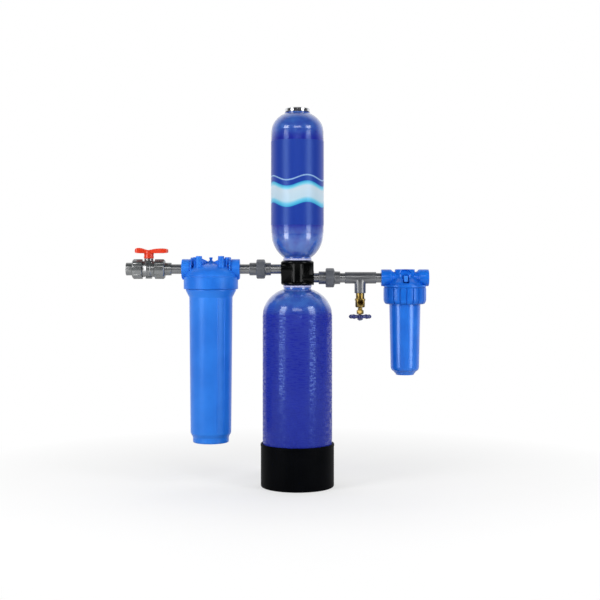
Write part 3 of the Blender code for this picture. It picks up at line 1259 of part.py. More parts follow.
def make_postfilter_head():
    """The post-filter head: a tower on a round rim, two ports on cones, and the skirt for the ring nut."""
    place = POSTFILTER_PLACE
    rim_low = RIM_TOP_Z - RIM_H
    skirt_low = flange_top_z() + 2 * (POST_O_RING_CORD_R + GAP)
    outline = [
        (0, TOWER_TOP_Z), (TOWER_R, TOWER_TOP_Z), (TOWER_R, TOWER_WAIST_Z), (TOWER_FOOT_R, RIM_TOP_Z),
        (RIM_R - RIM_ROUND, RIM_TOP_Z), (RIM_R, RIM_TOP_Z - RIM_ROUND), (RIM_R, rim_low + RIM_ROUND),
        (RIM_R - RIM_ROUND, rim_low), (HEAD_SKIRT_R, rim_low), (HEAD_SKIRT_R, skirt_low), (0, skirt_low),
    ]
    head = turned("postfilter_head", outline, HOUSING_SIDES, place)
    neck_start = HEAD_PORT_HALF - HEAD_PORT_LENGTH
    for name, axis in (("left", LEFT), ("right", RIGHT)):
        port = turned(
            name + "_head_port",
            [(0, HEAD_PORT_HALF), (HEAD_PORT_R - SOCKET_RIM, HEAD_PORT_HALF),
             (HEAD_PORT_R, HEAD_PORT_HALF - SOCKET_RIM), (HEAD_PORT_R, neck_start),
             (HEAD_PORT_NECK_R, neck_start - HEAD_PORT_CONE), (HEAD_PORT_NECK_R, 0), (0, 0)],
            FITTING_SIDES, place, axis,
        )
        join(head, port)
    vent_face = TOWER_R - ARCH_DEPTH
    foot = RIM_TOP_Z + RIM_ROUND - VENT_Z
    turns = [math.pi * i / ARCH_STEPS for i in range(ARCH_STEPS + 1)]
    outline = [(ARCH_R * math.cos(turn), ARCH_R * math.sin(turn)) for turn in turns] + [(-ARCH_R, foot), (ARCH_R, foot)]
    cut(head, raised("vent_arch", outline, [(vent_face, 0), (TOWER_FOOT_R, 0)], place + UP * VENT_Z, FRONT))
    ceiling = rim_low - HEAD_CEILING_H
    skirt_bore = HEAD_SKIRT_R - HEAD_SKIRT_WALL
    cut(head, rod("head_cavity", skirt_bore, ceiling, skirt_low - OVERRUN, HOUSING_SIDES, place))
    nipple_low = ceiling - HEAD_NIPPLE_H
    join(head, rod("head_nipple", HEAD_NIPPLE_R, ceiling + OVERRUN, nipple_low, SMALL_SIDES, place))
    stop = HEAD_PORT_HALF - SOCKET_DEPTH
    for name, axis, inner in (("left", LEFT, HEAD_DOWNWAY_X), ("right", RIGHT, 0)):
        steps = [(SOCKET_BORE_R, stop), (HEAD_WATERWAY_R, inner - HEAD_DOWNWAY_R)]
        cut(head, stepped(name + "_head_way", HEAD_PORT_HALF + OVERRUN, steps, PIPE_SIDES, place, axis))
    down_low = ceiling - OVERRUN
    cut(
        head,
        rod("outer_downway", HEAD_DOWNWAY_R, 0, down_low, SMALL_SIDES, place + LEFT * HEAD_DOWNWAY_X),
        rod("core_downway", HEAD_NIPPLE_R - HEAD_NIPPLE_WALL, 0, nipple_low - OVERRUN, SMALL_SIDES, place),
        rod("vent_way", VENT_SHANK_R + SHAFT_GAP, vent_face + OVERRUN, vent_face - VENT_SHANK - GAP, SMALL_SIDES,
            place + UP * VENT_Z, FRONT),
    )
    part(head, POST_BLUE, 0.3)
    collar_low = vent_face + GAP
    collar_high = collar_low + VENT_COLLAR_H
    vent = turned(
        "vent_screw",
        [(0, collar_high), (VENT_COLLAR_R, collar_high), (VENT_COLLAR_R, collar_low), (VENT_SHANK_R, collar_low),
         (VENT_SHANK_R, vent_face - VENT_SHANK), (0, vent_face - VENT_SHANK)],
        SMALL_SIDES, place + UP * VENT_Z, FRONT,
    )
    tab = block(
        "vent_tab", (-VENT_TAB_WIDTH / 2, -collar_high - VENT_TAB_DEPTH, -VENT_TAB_HEIGHT / 2),
        (VENT_TAB_WIDTH / 2, GAP - collar_high, VENT_TAB_HEIGHT / 2), place + UP * VENT_Z, VENT_TAB_ROUNDING,
    )
    join(vent, tab)
    part(vent, POST_BLUE, 0.3)


def make_ring_nut():
    place = POSTFILTER_PLACE
    top = RIM_TOP_Z - RIM_H - GAP
    low = top - RING_H
    outline = fluted_outline(RING_R, RING_FLUTE_DEPTH, RING_FLUTES, RING_FLUTE_SHARE)
    levels = [
        (low, RING_TAPER), (low + RING_TAPER_H, 0), (top - RING_SHOULDER, 0), (top, RING_SHOULDER),
    ]
    nut = raised("postfilter_ring", outline, levels, place)
    steps = [(RING_BORE_R, low + RING_LIP_H), (RING_LIP_R, low - OVERRUN)]
    cut(nut, stepped("ring_bore", top + OVERRUN, steps, HOUSING_SIDES, place))
    part(nut, POST_BLUE, 0.35)


def make_postfilter_sump():
    place = POSTFILTER_PLACE
    flange_top = flange_top_z()
    flange_low = flange_top - POST_SUMP_FLANGE_H
    collar_top = flange_top + POST_SUMP_COLLAR_H
    body_low = flange_low - POST_SUMP_STRAIGHT
    step_low = body_low - POST_SUMP_STEP_H
    bottom = step_low - POST_SUMP_FOOT_H
    wall = POST_SUMP_WALL
    outline = [
        (0, bottom + wall), (POST_SUMP_FOOT_R - wall, bottom + wall), (POST_SUMP_STEP_R - wall, step_low),
        (POST_SUMP_LOW_R - wall, body_low + wall), (POST_SUMP_R - wall, flange_low),
        (POST_SUMP_R - wall, collar_top), (POST_SUMP_COLLAR_R, collar_top), (POST_SUMP_COLLAR_R, flange_top),
        (POST_SUMP_FLANGE_R, flange_top), (POST_SUMP_FLANGE_R, flange_low), (POST_SUMP_R, flange_low),
        (POST_SUMP_LOW_R, body_low), (POST_SUMP_STEP_R, step_low), (POST_SUMP_FOOT_R, bottom), (0, bottom),
    ]
    part(turned("postfilter_sump", outline, HOUSING_SIDES, place), POST_BLUE, 0.15)
    seal_r = HEAD_SKIRT_R - HEAD_SKIRT_WALL / 2
    seal_z = flange_top + GAP + POST_O_RING_CORD_R
    part(ring("postfilter_o_ring", seal_r, POST_O_RING_CORD_R, place + UP * seal_z), RUBBER, 0.6)
    seat = [(POST_SUMP_FOOT_R - wall, bottom + wall), (POST_SUMP_STEP_R - wall, step_low)]
    cartridge("postfilter_cartridge", POST_CARTRIDGE_R, POST_CARTRIDGE_BORE_R, POST_CARTRIDGE_H,
              place + UP * cartridge_seat_z(seat, POST_CARTRIDGE_R))


def finish():
    """Apply each piece's modifiers and shade its round faces smooth, then clear the cutters away."""
    bpy.context.view_layer.update()
    graph = bpy.context.evaluated_depsgraph_get()
    meshes = {obj: bpy.data.meshes.new_from_object(obj.evaluated_get(graph)) for obj in PARTS.objects}
    for obj, mesh in meshes.items():
        shape = bmesh.new()
        shape.from_mesh(mesh)
        bmesh.ops.remove_doubles(shape, verts=shape.verts, dist=MERGE)
        bmesh.ops.dissolve_degenerate(shape, edges=shape.edges, dist=MERGE)
        shape.to_mesh(mesh)
        shape.free()
        obj.modifiers.clear()
        obj.data = mesh
        mesh.shade_smooth()
        mesh.set_sharp_from_angle(angle=SHARP_ANGLE)
    for obj in list(CUTTERS.objects):
        bpy.data.objects.remove(obj, do_unlink=True)


make_boot()
make_lower_tank()
make_upper_tank()
make_neck_rings()
make_top_cap()
make_label()
make_risers()
make_media()
make_connector()
make_valve_body()
make_valve_ends()
make_ball_and_stem()
make_union("inlet", INLET_UNION_X, INLET_Z)
make_union("outlet", OUTLET_UNION_X, OUTLET_Z)
make_pipes()
make_lid()
make_sump()
make_tee()
make_drain_valve()
make_postfilter_head()
make_ring_nut()
make_postfilter_sump()
finish()
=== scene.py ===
"""Looks of the whole house water filter: every piece that shows, its finish, and a plain pale studio.

Metres, +Z up, -Y towards the camera, as in the frame. Heights inside a group are from that group's own axis.
"""
import json
import math

import bpy
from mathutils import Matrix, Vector


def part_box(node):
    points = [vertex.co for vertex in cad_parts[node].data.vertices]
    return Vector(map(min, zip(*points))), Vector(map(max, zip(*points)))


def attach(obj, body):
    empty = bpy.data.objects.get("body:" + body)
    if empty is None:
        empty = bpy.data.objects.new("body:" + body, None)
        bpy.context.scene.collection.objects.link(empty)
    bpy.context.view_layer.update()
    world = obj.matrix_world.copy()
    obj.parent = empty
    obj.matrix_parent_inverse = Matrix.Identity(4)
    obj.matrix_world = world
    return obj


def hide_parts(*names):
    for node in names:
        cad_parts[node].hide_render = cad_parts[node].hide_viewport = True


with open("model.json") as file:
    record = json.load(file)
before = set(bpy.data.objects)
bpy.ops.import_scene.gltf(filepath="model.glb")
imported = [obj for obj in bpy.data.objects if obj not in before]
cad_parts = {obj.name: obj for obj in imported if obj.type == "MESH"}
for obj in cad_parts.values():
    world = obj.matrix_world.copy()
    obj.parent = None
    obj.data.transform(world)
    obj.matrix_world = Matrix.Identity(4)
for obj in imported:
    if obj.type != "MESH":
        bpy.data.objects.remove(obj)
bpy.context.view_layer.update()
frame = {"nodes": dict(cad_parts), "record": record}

RECORD = frame["record"]
BODY_OF = {node: body for body, nodes in RECORD["behaviour"]["bodies"].items() for node in nodes}

UP = Vector((0, 0, 1))
RIGHT = Vector((1, 0, 0))
LEFT = -RIGHT
FRONT = Vector((0, -1, 0))
CENTRE = Vector((0, 0, 0))
FULL_TURN = 2 * math.pi
QUARTER_TURN = math.pi / 2

# How fine the round pieces are turned, and the angle over which an edge counts as one
BIG_SIDES = 144
LABEL_SIDES = 180
SIDES = 72
SMALL_SIDES = 40
SEAL_SIDES = 16
SHARP_ANGLE = math.radians(32)
CREASE_ANGLE = math.radians(42)
HAIR = 0.0002
OVERRUN = 0.002

# Millimetres in a metre, for the scale of a pattern
PER_MM = 1000

# Clearances: between seated pieces, round a shaft, and between a nut and its thread
SEAT_GAP = 0.0003
SHAFT_GAP = 0.0005
THREAD_GAP = 0.0005
NUT_GAP = 0.0010

# Pipe and glued sockets
PIPE_R = 0.0150
PIPE_WALL = 0.0028
PIPE_EDGE = 0.0004
SOCKET_R = 0.0197
SOCKET_DEPTH = 0.0180
SOCKET_BORE_R = 0.0153
SOCKET_RIM = 0.0012

# Tanks
BLUE_GLOSS = "#A4CCFF"
LOWER_TANK_DULL = 0.62
LOWER_TANK_RELIEF = 0.0002
UPPER_TANK_DULL = 0.24
UPPER_TANK_RELIEF = 0.0001
DOME_RELIEF = 0.0014
STRAND_DRIFT = 5.0
UPPER_FADE_IN = 0.0250
TANK_NECK_R = 0.0430
TANK_WALL = 0.0032
NECK_BORE_R = 0.0340
TOP_BORE_R = 0.0310
SPIGOT_LENGTH = 0.0220
LOWER_BOTTOM_RISE = 0.0600
LOWER_STRAIGHT = 0.4610
LOWER_NECK_H = 0.0049
UPPER_BOTTOM_RISE = 0.0880
UPPER_STRAIGHT = 0.3162
UPPER_NECK_H = 0.0035
UPPER_TOP_NECK_R = 0.0400
UPPER_TOP_NECK_H = 0.0028
HOOP_STEP = 0.0007
HOOP_STEP_H = 0.0016
DOME_STEPS = 18
DOME_END_R = 0.0030

# Boot, neck rings, top cap and label
BOOT_DRAFT = 0.0008
BOOT_ROUND = 0.0040
BOOT_BEAD_H = 0.0075
BOOT_LIP = 0.0028
NECK_RING_EDGE = 0.0014
CAP_WALL = 0.0050
CAP_FOOT_ROUND = 0.0008
CAP_CHAMFER = 0.0024
CAP_RECESS_R = 0.0270
CAP_RECESS_DEPTH = 0.0030
CAP_SEAL_R = 0.0345
CAP_CORD_R = 0.0010
LABEL_EDGE = 0.0002
LABEL_LAP = 0.0002
LABEL_LAP_DEGREES = 14
SEAL_SQUEEZE_SHARE = 0.96

# Connector
COLUMN_R = 0.0270
COLUMN_FILLET = 0.0030
FLANGE_R = 0.0505
FLANGE_H = 0.0085
FLANGE_RIM_H = 0.0040
FLANGE_ROUND = 0.0012
CORE_HALF_DEPTH = 0.0200
CORE_ROUND = 0.0040
PORT_LIP = 0.0008
PORT_R = 0.0225
PORT_ROUND = 0.0014
SPIGOT_BORE_R = 0.0225

# Ball valve
VALVE_BODY_R = 0.0247
VALVE_BAND_R = 0.0258
VALVE_RIB_R = 0.0268
VALVE_RIB_WIDTH = 0.0032
VALVE_RIB_X = -0.0038
VALVE_BAND_HALF = 0.0050
VALVE_THREAD_R = 0.0238
VALVE_THREAD_LENGTH = 0.0140
VALVE_ROUND = 0.0014
SEAT_BORE_R = 0.0189
BALL_R = 0.0180
VALVE_NECK_LOW = 0.0120
VALVE_NECK_R = 0.0140
NECK_FOOT_R = 0.0178
NECK_FILLET = 0.0020
NECK_EDGE = 0.0009
VALVE_FOOT_HALF = 0.0095
VALVE_FOOT_HALF_DEPTH = 0.0110
VALVE_NUT_R = 0.0292
VALVE_NUT_LUG = 0.0014
VALVE_NUT_LUGS = 8
LUG_SHARE = 0.45
NUT_STEPS_A_LUG = 16
VALVE_NUT_BEVEL = 0.0045
NUT_EDGE = 0.0008
UNION_FLANGE_H = 0.0035
VALVE_STEM_R = 0.0055
STEM_DRIVE_HALF = 0.0037
TANG_HALF_WIDTH = 0.0045
TANG_HALF_DEPTH = 0.0018
TANG_H = 0.0028
HANDLE_HUB_R = 0.0158
HANDLE_EDGE = 0.0012
HANDLE_ROUND = 0.0034
HANDLE_STEPS = 4
HANDLE_HUB_TOP_SHARE = 0.72
HANDLE_WAIST_SHARE = 0.30
HANDLE_ARC_SHARE = 0.50
# Sections of the arms: shares of an arm's length, of half the depth, and of the height for bottom and top
HANDLE_SECTION_SHARES = (
    (-1.00, 0.66, 0.58, 0.84), (-0.92, 0.90, 0.53, 0.92), (-0.70, 1.00, 0.50, 0.95),
    (-0.36, 0.86, 0.50, 0.92), (0.00, 0.82, 0.48, 0.80), (0.28, 0.86, 0.49, 0.88),
    (0.52, 1.00, 0.49, 0.98), (0.76, 1.00, 0.50, 1.00), (0.93, 0.92, 0.53, 0.94), (1.00, 0.66, 0.60, 0.82),
)

# Unions
UNION_THREAD_R = 0.0252
UNION_NUT_SIDES = 8
UNION_NUT_LIP = 0.0080
UNION_CHAMFER = 0.0025
UNION_ROUND = 0.0018
UNION_SEAL_R = 0.0205
UNION_CORD_R = 0.0011

# Pre-filter lid, heights from the axis of its ports
LID_COLLAR_R = 0.0840
LID_COLLAR_TOP_Z = -0.0230
LID_BOTTOM_Z = -0.0620
LID_CREST_Z = 0.0185
LID_EDGE = 0.0018
LID_PORT_R = 0.0308
LID_PORT_RIM = 0.0022
LID_WEB_HALF = 0.0120
LID_WEB_LOW_Z = -0.0330
LID_THREAD_H = 0.0300
LID_SKIRT_R = 0.0774
LID_NIPPLE_R = 0.0125
LID_NIPPLE_Z = -0.0310
LID_CAVITY_R = 0.0600
LID_CHANNEL_R = 0.0137
LID_CAVITY_TOP_Z = 0.0030
LID_CAVITY_TOP_R = 0.0360
CROWN_STEPS = 16
CROWN_TIP_SHARE = 0.02
CROWN_ROUND_POWER = 0.9
CROWN_RISE_POWER = 1.2
POST_R = 0.0095
POST_ROUND = 0.0010
POST_DRAFT = 0.0012
POST_HOLE_R = 0.0032
POST_HOLE_DEPTH = 0.0160
FRONT_POST_X = 0.0340
FRONT_POST_Y = 0.0360
REAR_POST_X = 0.0500
REAR_POST_Y = 0.0300
REAR_POST_DROP = 0.0030
RIB_THICKNESS = 0.0035
RIB_INNER_TOP_Z = 0.0215
RIB_OUTER_TOP_Z = 0.0345
RIB_BOTTOM_Z = -0.0100
RIB_ROUND = 0.0008
PLATE_R = 0.0362
PLATE_INNER_X = 0.0575
PLATE_OUTER_X = 0.0620
PLATE_GROOVE = 0.0020
PLATE_ROUND = 0.0010
BUTTON_SEAT_R = 0.0150
BUTTON_NECK_R = 0.0070
BUTTON_SEAT_TOP_Z = 0.0265
BUTTON_R = 0.0052
BUTTON_STEM_R = 0.0040
BUTTON_CAP_H = 0.0060
BUTTON_ROUND = 0.0016

# Pre-filter sump
SUMP_NECK_R = 0.0765
SUMP_FLANGE_R = 0.0773
SUMP_FLANGE_H = 0.0105
SUMP_LIP_H = 0.0045
SUMP_CONE_H = 0.0150
SUMP_TOP_R = 0.0667
SUMP_BOTTOM_R = 0.0627
SUMP_CHAMFER_H = 0.0180
SUMP_BASE_R = 0.0555
SUMP_BASE_H = 0.0110
SUMP_BASE_ROUND = 0.0030
SUMP_SOLE_IN = 0.0060
SUMP_SOLE_RISE = 0.0008
SUMP_WALL = 0.0045
SUMP_EDGE = 0.0012
SUMP_RIB_STAND = 0.0011
SUMP_RIB_WIDTH = 0.0030
SUMP_RIB_ROUND = 0.0004
SUMP_RIB_ANGLES = (22, 44, 202, 224)

# Tee and drain valve, heights from the tee's branch face
TEE_BRANCH_R = 0.0175
TEE_FILLET = 0.0025
TEE_THREAD_DEPTH = 0.0120
DRAIN_THREAD_R = 0.0133
DRAIN_NECK_R = 0.0132
DRAIN_NECK_H = 0.0165
DRAIN_BODY_R = 0.0150
DRAIN_BODY_H = 0.0290
DRAIN_BONNET_R = 0.0070
DRAIN_FILLET = 0.0015
DRAIN_EDGE = 0.0010
DRAIN_SPOUT_R = 0.0118
DRAIN_SPOUT_BORE_R = 0.0076
DRAIN_SPOUT_DROP = 0.0278
DRAIN_THREADS = 5
THREAD_PITCH = 0.0022
DRAIN_HEX_R = 0.0165
DRAIN_HEX_H = 0.0070
DRAIN_HEX_SIDES = 8
DRAIN_CHAMBER_R = 0.0108
DRAIN_CHAMBER_H = 0.0265
DRAIN_SEAT_R = 0.0060
DRAIN_DISC_R = 0.0080
DRAIN_DISC_H = 0.0040
DRAIN_STEM_R = 0.0042
DRAIN_SHOULDER_SHARE = 0.86
PACKING_NUT_R = 0.0122
PACKING_MOUTH_SHARE = 0.62
PACKING_CROWN_SHARE = 0.95
PACKING_NUT_SIDES = 6
SCREW_HEAD_R = 0.0045
SCREW_HEAD_H = 0.0025
SCREW_SHANK_R = 0.0018
SCREW_SLOT_HALF = 0.0026
WHEEL_HUB_R = 0.0085
HUB_SHOULDER_SHARE = 0.9
HUB_FACE_SHARE = 0.7
WHEEL_LOBES = 8
LOBE_R = 0.0078
LOBE_FLAT_SHARE = 0.84
RIM_CORD_R = 0.0048
WHEEL_ABOVE_HUB = 0.0022
WEB_HALF = 0.0013
WHEEL_WINDOWS = 5
WINDOW_R = 0.0066
WINDOW_RING_R = 0.0185

# Post-filter head, heights from the axis of its ports
HEAD_PORT_R = 0.0262
HEAD_PORT_LENGTH = 0.0290
HEAD_PORT_NECK_R = 0.0190
HEAD_PORT_CONE = 0.0100
TOWER_R = 0.0310
TOWER_TOP_Z = 0.0265
TOWER_WAIST_Z = 0.0040
TOWER_FOOT_R = 0.0475
TOWER_FLARE = 0.0060
RIM_R = 0.0655
RIM_TOP_Z = -0.0215
RIM_H = 0.0085
RIM_ROUND = 0.0022
HEAD_SKIRT_R = 0.0575
HEAD_SKIRT_WALL = 0.0052
HEAD_CEILING_H = 0.0050
HEAD_NIPPLE_R = 0.0125
HEAD_NIPPLE_WALL = 0.0030
HEAD_NIPPLE_H = 0.0110
HEAD_WATERWAY_R = 0.0095
HEAD_DOWNWAY_X = 0.0260
HEAD_DOWNWAY_R = 0.0060
ARCH_R = 0.0188
ARCH_Y = -0.0302
ARCH_Z = 0.0070
ARCH_LOW_Z = 0.0060
ARCH_LEAN = (0, -0.839, 0.545)
VENT_POCKET_HALF = 0.0102
VENT_POCKET_LOW_Z = -0.0165
VENT_POCKET_ROUND = 0.0045
ARCH_DEPTH = 0.0060
VENT_Z = -0.0035
VENT_SHANK_R = 0.0040
VENT_SHANK = 0.0100
VENT_COLLAR_R = 0.0078
VENT_COLLAR_H = 0.0030
VENT_TAB_WIDTH = 0.0126
VENT_TAB_ROUND = 0.0018

# Ring nut and post-filter sump
RING_BORE_R = 0.0584
RING_LIP_H = 0.0150
RING_LIP_R = 0.0494
RING_TAPER = 0.0085
RING_TAPER_H = 0.0170
RING_TAPER_STEPS = 6
RING_SHOULDER = 0.0025
RING_FLUTES = 20
RING_STEPS = 24
RING_FLUTE_SHARE = 0.12
RING_FLUTE_DEPTH = 0.0038
RING_EDGE = 0.0004
POST_SUMP_R = 0.0486
POST_SUMP_LOW_R = 0.0440
POST_SUMP_FLANGE_R = 0.0568
POST_SUMP_FLANGE_H = 0.0050
POST_SUMP_COLLAR_R = 0.0517
POST_SUMP_COLLAR_H = 0.0160
POST_SUMP_STEP_R = 0.0350
POST_SUMP_STEP_H = 0.0140
POST_SUMP_FOOT_R = 0.0280
POST_SUMP_FOOT_H = 0.0114
POST_SUMP_WALL = 0.0035
POST_SUMP_STEPS = 8
POST_SUMP_DIMPLE_SHARE = 0.55
POST_SUMP_SOLE_SHARE = 0.62

# Studio: floor, room, lamps and camera
FLOOR_SIZE = 14.0
FLOOR_WHITE_SHARE = 0.50
FLOOR_GLOSS_SHARE = 0.30
FADE_START = 0.40
FADE_END = 1.30
ROOM_STRENGTH = 0.16
ROOM_GLOSS = 0.04
LAMP_AIM = (0, 0, 0.65)
SIDE_LAMP_X = 1.70
SIDE_LAMP_Y = -1.40
SIDE_LAMP_Z = 0.95
SIDE_LAMP_SIZE = (0.80, 2.3)
LEFT_LAMP_POWER = 34
RIGHT_LAMP_POWER = 32
FRONT_LAMP_PLACE = (0.0, -2.90, 1.98)
FRONT_LAMP_SIZE = (1.7, 0.72)
FRONT_LAMP_POWER = 15
CAMERA_PLACE = (0.008, -3.55, 0.683)
CAMERA_LENS = 68.8
CAMERA_SENSOR = 36
CAMERA_SHIFT = -0.058


def linear(colour):
    """A linear RGBA colour from an sRGB hex value."""
    channels = [int(colour[i:i + 2], 16) / 255 for i in (1, 3, 5)]
    return (*[c / 12.92 if c <= 0.04045 else ((c + 0.055) / 1.055) ** 2.4 for c in channels], 1)


def fill(tree, node, inputs):
    """Fill a node's inputs, by name or number, with values or with other nodes' outputs."""
    for socket, value in inputs.items():
        if isinstance(value, bpy.types.NodeSocket):
            tree.links.new(value, node.inputs[socket])
        else:
            node.inputs[socket].default_value = value


def add(tree, kind, inputs=None, stops=None, **settings):
    """Add a node to a tree, with its settings and inputs. A ramp's stops are (position, hex colour)."""
    made = tree.nodes.new(kind)
    for name, value in settings.items():
        setattr(made, name, value)
    fill(tree, made, inputs or {})
    if stops:
        points = made.color_ramp.elements
        for point, (position, colour) in ((points[0], stops[0]), (points[1], stops[-1])):
            point.position, point.color = position, linear(colour)
        for position, colour in stops[1:-1]:
            points.new(position).color = linear(colour)
    return made


def new_finish(name, **sockets):
    """A material with a Principled shader, whose sockets are set by name."""
    material = bpy.data.materials.new(name)
    material.use_nodes = True
    tree = material.node_tree
    shader = tree.nodes["Principled BSDF"]
    fill(tree, shader, {socket.replace("_", " "): value for socket, value in sockets.items()})
    return material, tree, shader


def moulded(
    name, light, dark, roughness, grain_mm, grain_height,
    cloud_mm=60, coat=0.0, shine=0.5, gloss="#FFFFFF", index=1.46,
):
    """Injection-moulded plastic: slow clouds between two tints, a fine grain from the mould, and a roughness
    that wanders a little, so that highlights break up as they do on a real moulding."""
    material, tree, shader = new_finish(
        name, IOR=index, Specular_IOR_Level=shine, Specular_Tint=linear(gloss), Coat_Weight=coat,
        Coat_Roughness=0.08,
    )
    place = add(tree, "ShaderNodeTexCoord").outputs["Object"]
    clouds = add(tree, "ShaderNodeTexNoise", {"Vector": place, "Scale": PER_MM / cloud_mm, "Detail": 3.0})
    tint = add(tree, "ShaderNodeValToRGB", {"Fac": clouds.outputs["Fac"]}, [(0.32, dark), (0.68, light)])
    grain = add(tree, "ShaderNodeTexNoise", {"Vector": place, "Scale": PER_MM / grain_mm, "Detail": 2.0})
    polish = add(tree, "ShaderNodeMapRange", {
        "Value": clouds.outputs["Fac"], "To Min": roughness - 0.05, "To Max": roughness + 0.06,
    })
    bump = add(tree, "ShaderNodeBump", {
        "Height": grain.outputs["Fac"], "Strength": 0.5, "Distance": grain_height,
    })
    fill(tree, shader, {
        "Base Color": tint.outputs["Color"], "Roughness": polish.outputs["Result"],
        "Normal": bump.outputs["Normal"], "Coat Normal": bump.outputs["Normal"],
    })
    return material


def wound_fibreglass(name, low_bend, high_bend, dull, relief_height):
    """Filament-wound fibreglass in a blue resin. Hoops of glass run round the straight part and break the
    lamps' stripes into short level glints. On the domes the glass crosses on a slant, and the domes'
    paler blue is painted light, as if they caught more light from above."""
    material, tree, shader = new_finish(
        name, IOR=1.55, Specular_Tint=linear(BLUE_GLOSS), Coat_Roughness=0.10, Coat_IOR=1.7
    )
    hoop_mm, hoop_turns, band_mm, band_turns, patch_mm = 3.4, 4.5, 10, 1.5, 24
    strand_mm, slant_count, dome_fade = 5.2, 84.0, 0.035
    place = add(tree, "ShaderNodeTexCoord").outputs["Object"]
    split = add(tree, "ShaderNodeSeparateXYZ", {"Vector": place})
    angle = add(tree, "ShaderNodeMath", {
        0: split.outputs["Y"], 1: split.outputs["X"],
    }, operation="ARCTAN2").outputs[0]
    height = split.outputs["Z"]
    round_place = add(tree, "ShaderNodeCombineXYZ", {"X": angle, "Z": height}).outputs[0]
    hoop_map = add(tree, "ShaderNodeMapping", {
        "Vector": round_place, "Scale": (hoop_turns, 1.0, PER_MM / hoop_mm),
    })
    hoops = add(tree, "ShaderNodeTexNoise", {"Vector": hoop_map.outputs[0], "Scale": 1.0, "Detail": 4.0})
    band_map = add(tree, "ShaderNodeMapping", {
        "Vector": round_place, "Scale": (band_turns, 1.0, PER_MM / band_mm),
    })
    bands = add(tree, "ShaderNodeTexNoise", {"Vector": band_map.outputs[0], "Scale": 1.0, "Detail": 3.0})
    patches = add(tree, "ShaderNodeTexNoise", {
        "Vector": place, "Scale": PER_MM / patch_mm, "Detail": 4.0, "Roughness": 0.6,
    })
    drift = add(tree, "ShaderNodeMath", {
        0: patches.outputs["Fac"], 1: STRAND_DRIFT,
    }, operation="MULTIPLY")
    slants = []
    for way in (-1.0, 1.0):
        turns = add(tree, "ShaderNodeMath", {
            0: angle, 1: slant_count, 2: drift.outputs[0],
        }, operation="MULTIPLY_ADD")
        climb = add(tree, "ShaderNodeMath", {
            0: height, 1: way * FULL_TURN * PER_MM / strand_mm,
        }, operation="MULTIPLY")
        phase = add(tree, "ShaderNodeMath", {0: turns.outputs[0], 1: climb.outputs[0]}, operation="ADD")
        wave = add(tree, "ShaderNodeMath", {0: phase.outputs[0]}, operation="SINE")
        slants.append(wave.outputs[0])
    crossing = add(tree, "ShaderNodeMath", {0: slants[0], 1: slants[1]}, operation="MAXIMUM")
    streaks = add(tree, "ShaderNodeMath", {0: crossing.outputs[0], 1: 0.17}, operation="MULTIPLY")
    weave = add(tree, "ShaderNodeMath", {
        0: patches.outputs["Fac"], 1: streaks.outputs[0],
    }, operation="ADD").outputs[0]
    above = add(tree, "ShaderNodeMapRange", {
        "Value": height, "From Min": high_bend, "From Max": high_bend + dome_fade,
    })
    under = add(tree, "ShaderNodeMapRange", {
        "Value": height, "From Min": low_bend, "From Max": low_bend - dome_fade,
    })
    on_dome = add(tree, "ShaderNodeMath", {
        0: above.outputs[0], 1: under.outputs[0],
    }, operation="MAXIMUM").outputs[0]
    mottle = add(tree, "ShaderNodeMix", {
        "Factor": 0.40, 2: hoops.outputs["Fac"], 3: bands.outputs["Fac"],
    }, data_type="FLOAT")
    body = add(tree, "ShaderNodeValToRGB", {"Fac": mottle.outputs[0]}, [(0.30, "#1B2190"), (0.70, "#2430A4")])
    # Painted light: the domes are painted a paler blue, as if lit more from above; the crossing streaks in it
    # are the winding
    dome_painted_light = add(tree, "ShaderNodeValToRGB", {"Fac": weave}, [(0.30, "#2235A2"), (0.74, "#406FC4")])
    colour = add(tree, "ShaderNodeMix", {
        "Factor": on_dome, 6: body.outputs["Color"], 7: dome_painted_light.outputs["Color"],
    }, data_type="RGBA")
    relief = add(tree, "ShaderNodeMix", {
        "Factor": on_dome, 2: hoops.outputs["Fac"], 3: weave,
    }, data_type="FLOAT")
    depth = add(tree, "ShaderNodeMapRange", {
        "Value": on_dome, "To Min": relief_height, "To Max": DOME_RELIEF,
    })
    bump = add(tree, "ShaderNodeBump", {
        "Height": relief.outputs[0], "Strength": 0.5, "Distance": depth.outputs["Result"],
    })
    strands = add(tree, "ShaderNodeMapRange", {
        "Value": hoops.outputs["Fac"], "From Min": 0.48, "From Max": 0.55, "To Min": dull, "To Max": 0.16,
    })
    crossings = add(tree, "ShaderNodeMapRange", {
        "Value": weave, "From Min": 0.42, "From Max": 0.60, "To Min": 0.30, "To Max": 0.08,
    })
    polish = add(tree, "ShaderNodeMix", {
        "Factor": on_dome, 2: strands.outputs["Result"], 3: crossings.outputs["Result"],
    }, data_type="FLOAT")
    fill(tree, shader, {
        "Base Color": colour.outputs[2], "Roughness": polish.outputs[0], "Normal": bump.outputs["Normal"],
        "Coat Weight": on_dome,
    })
    return material


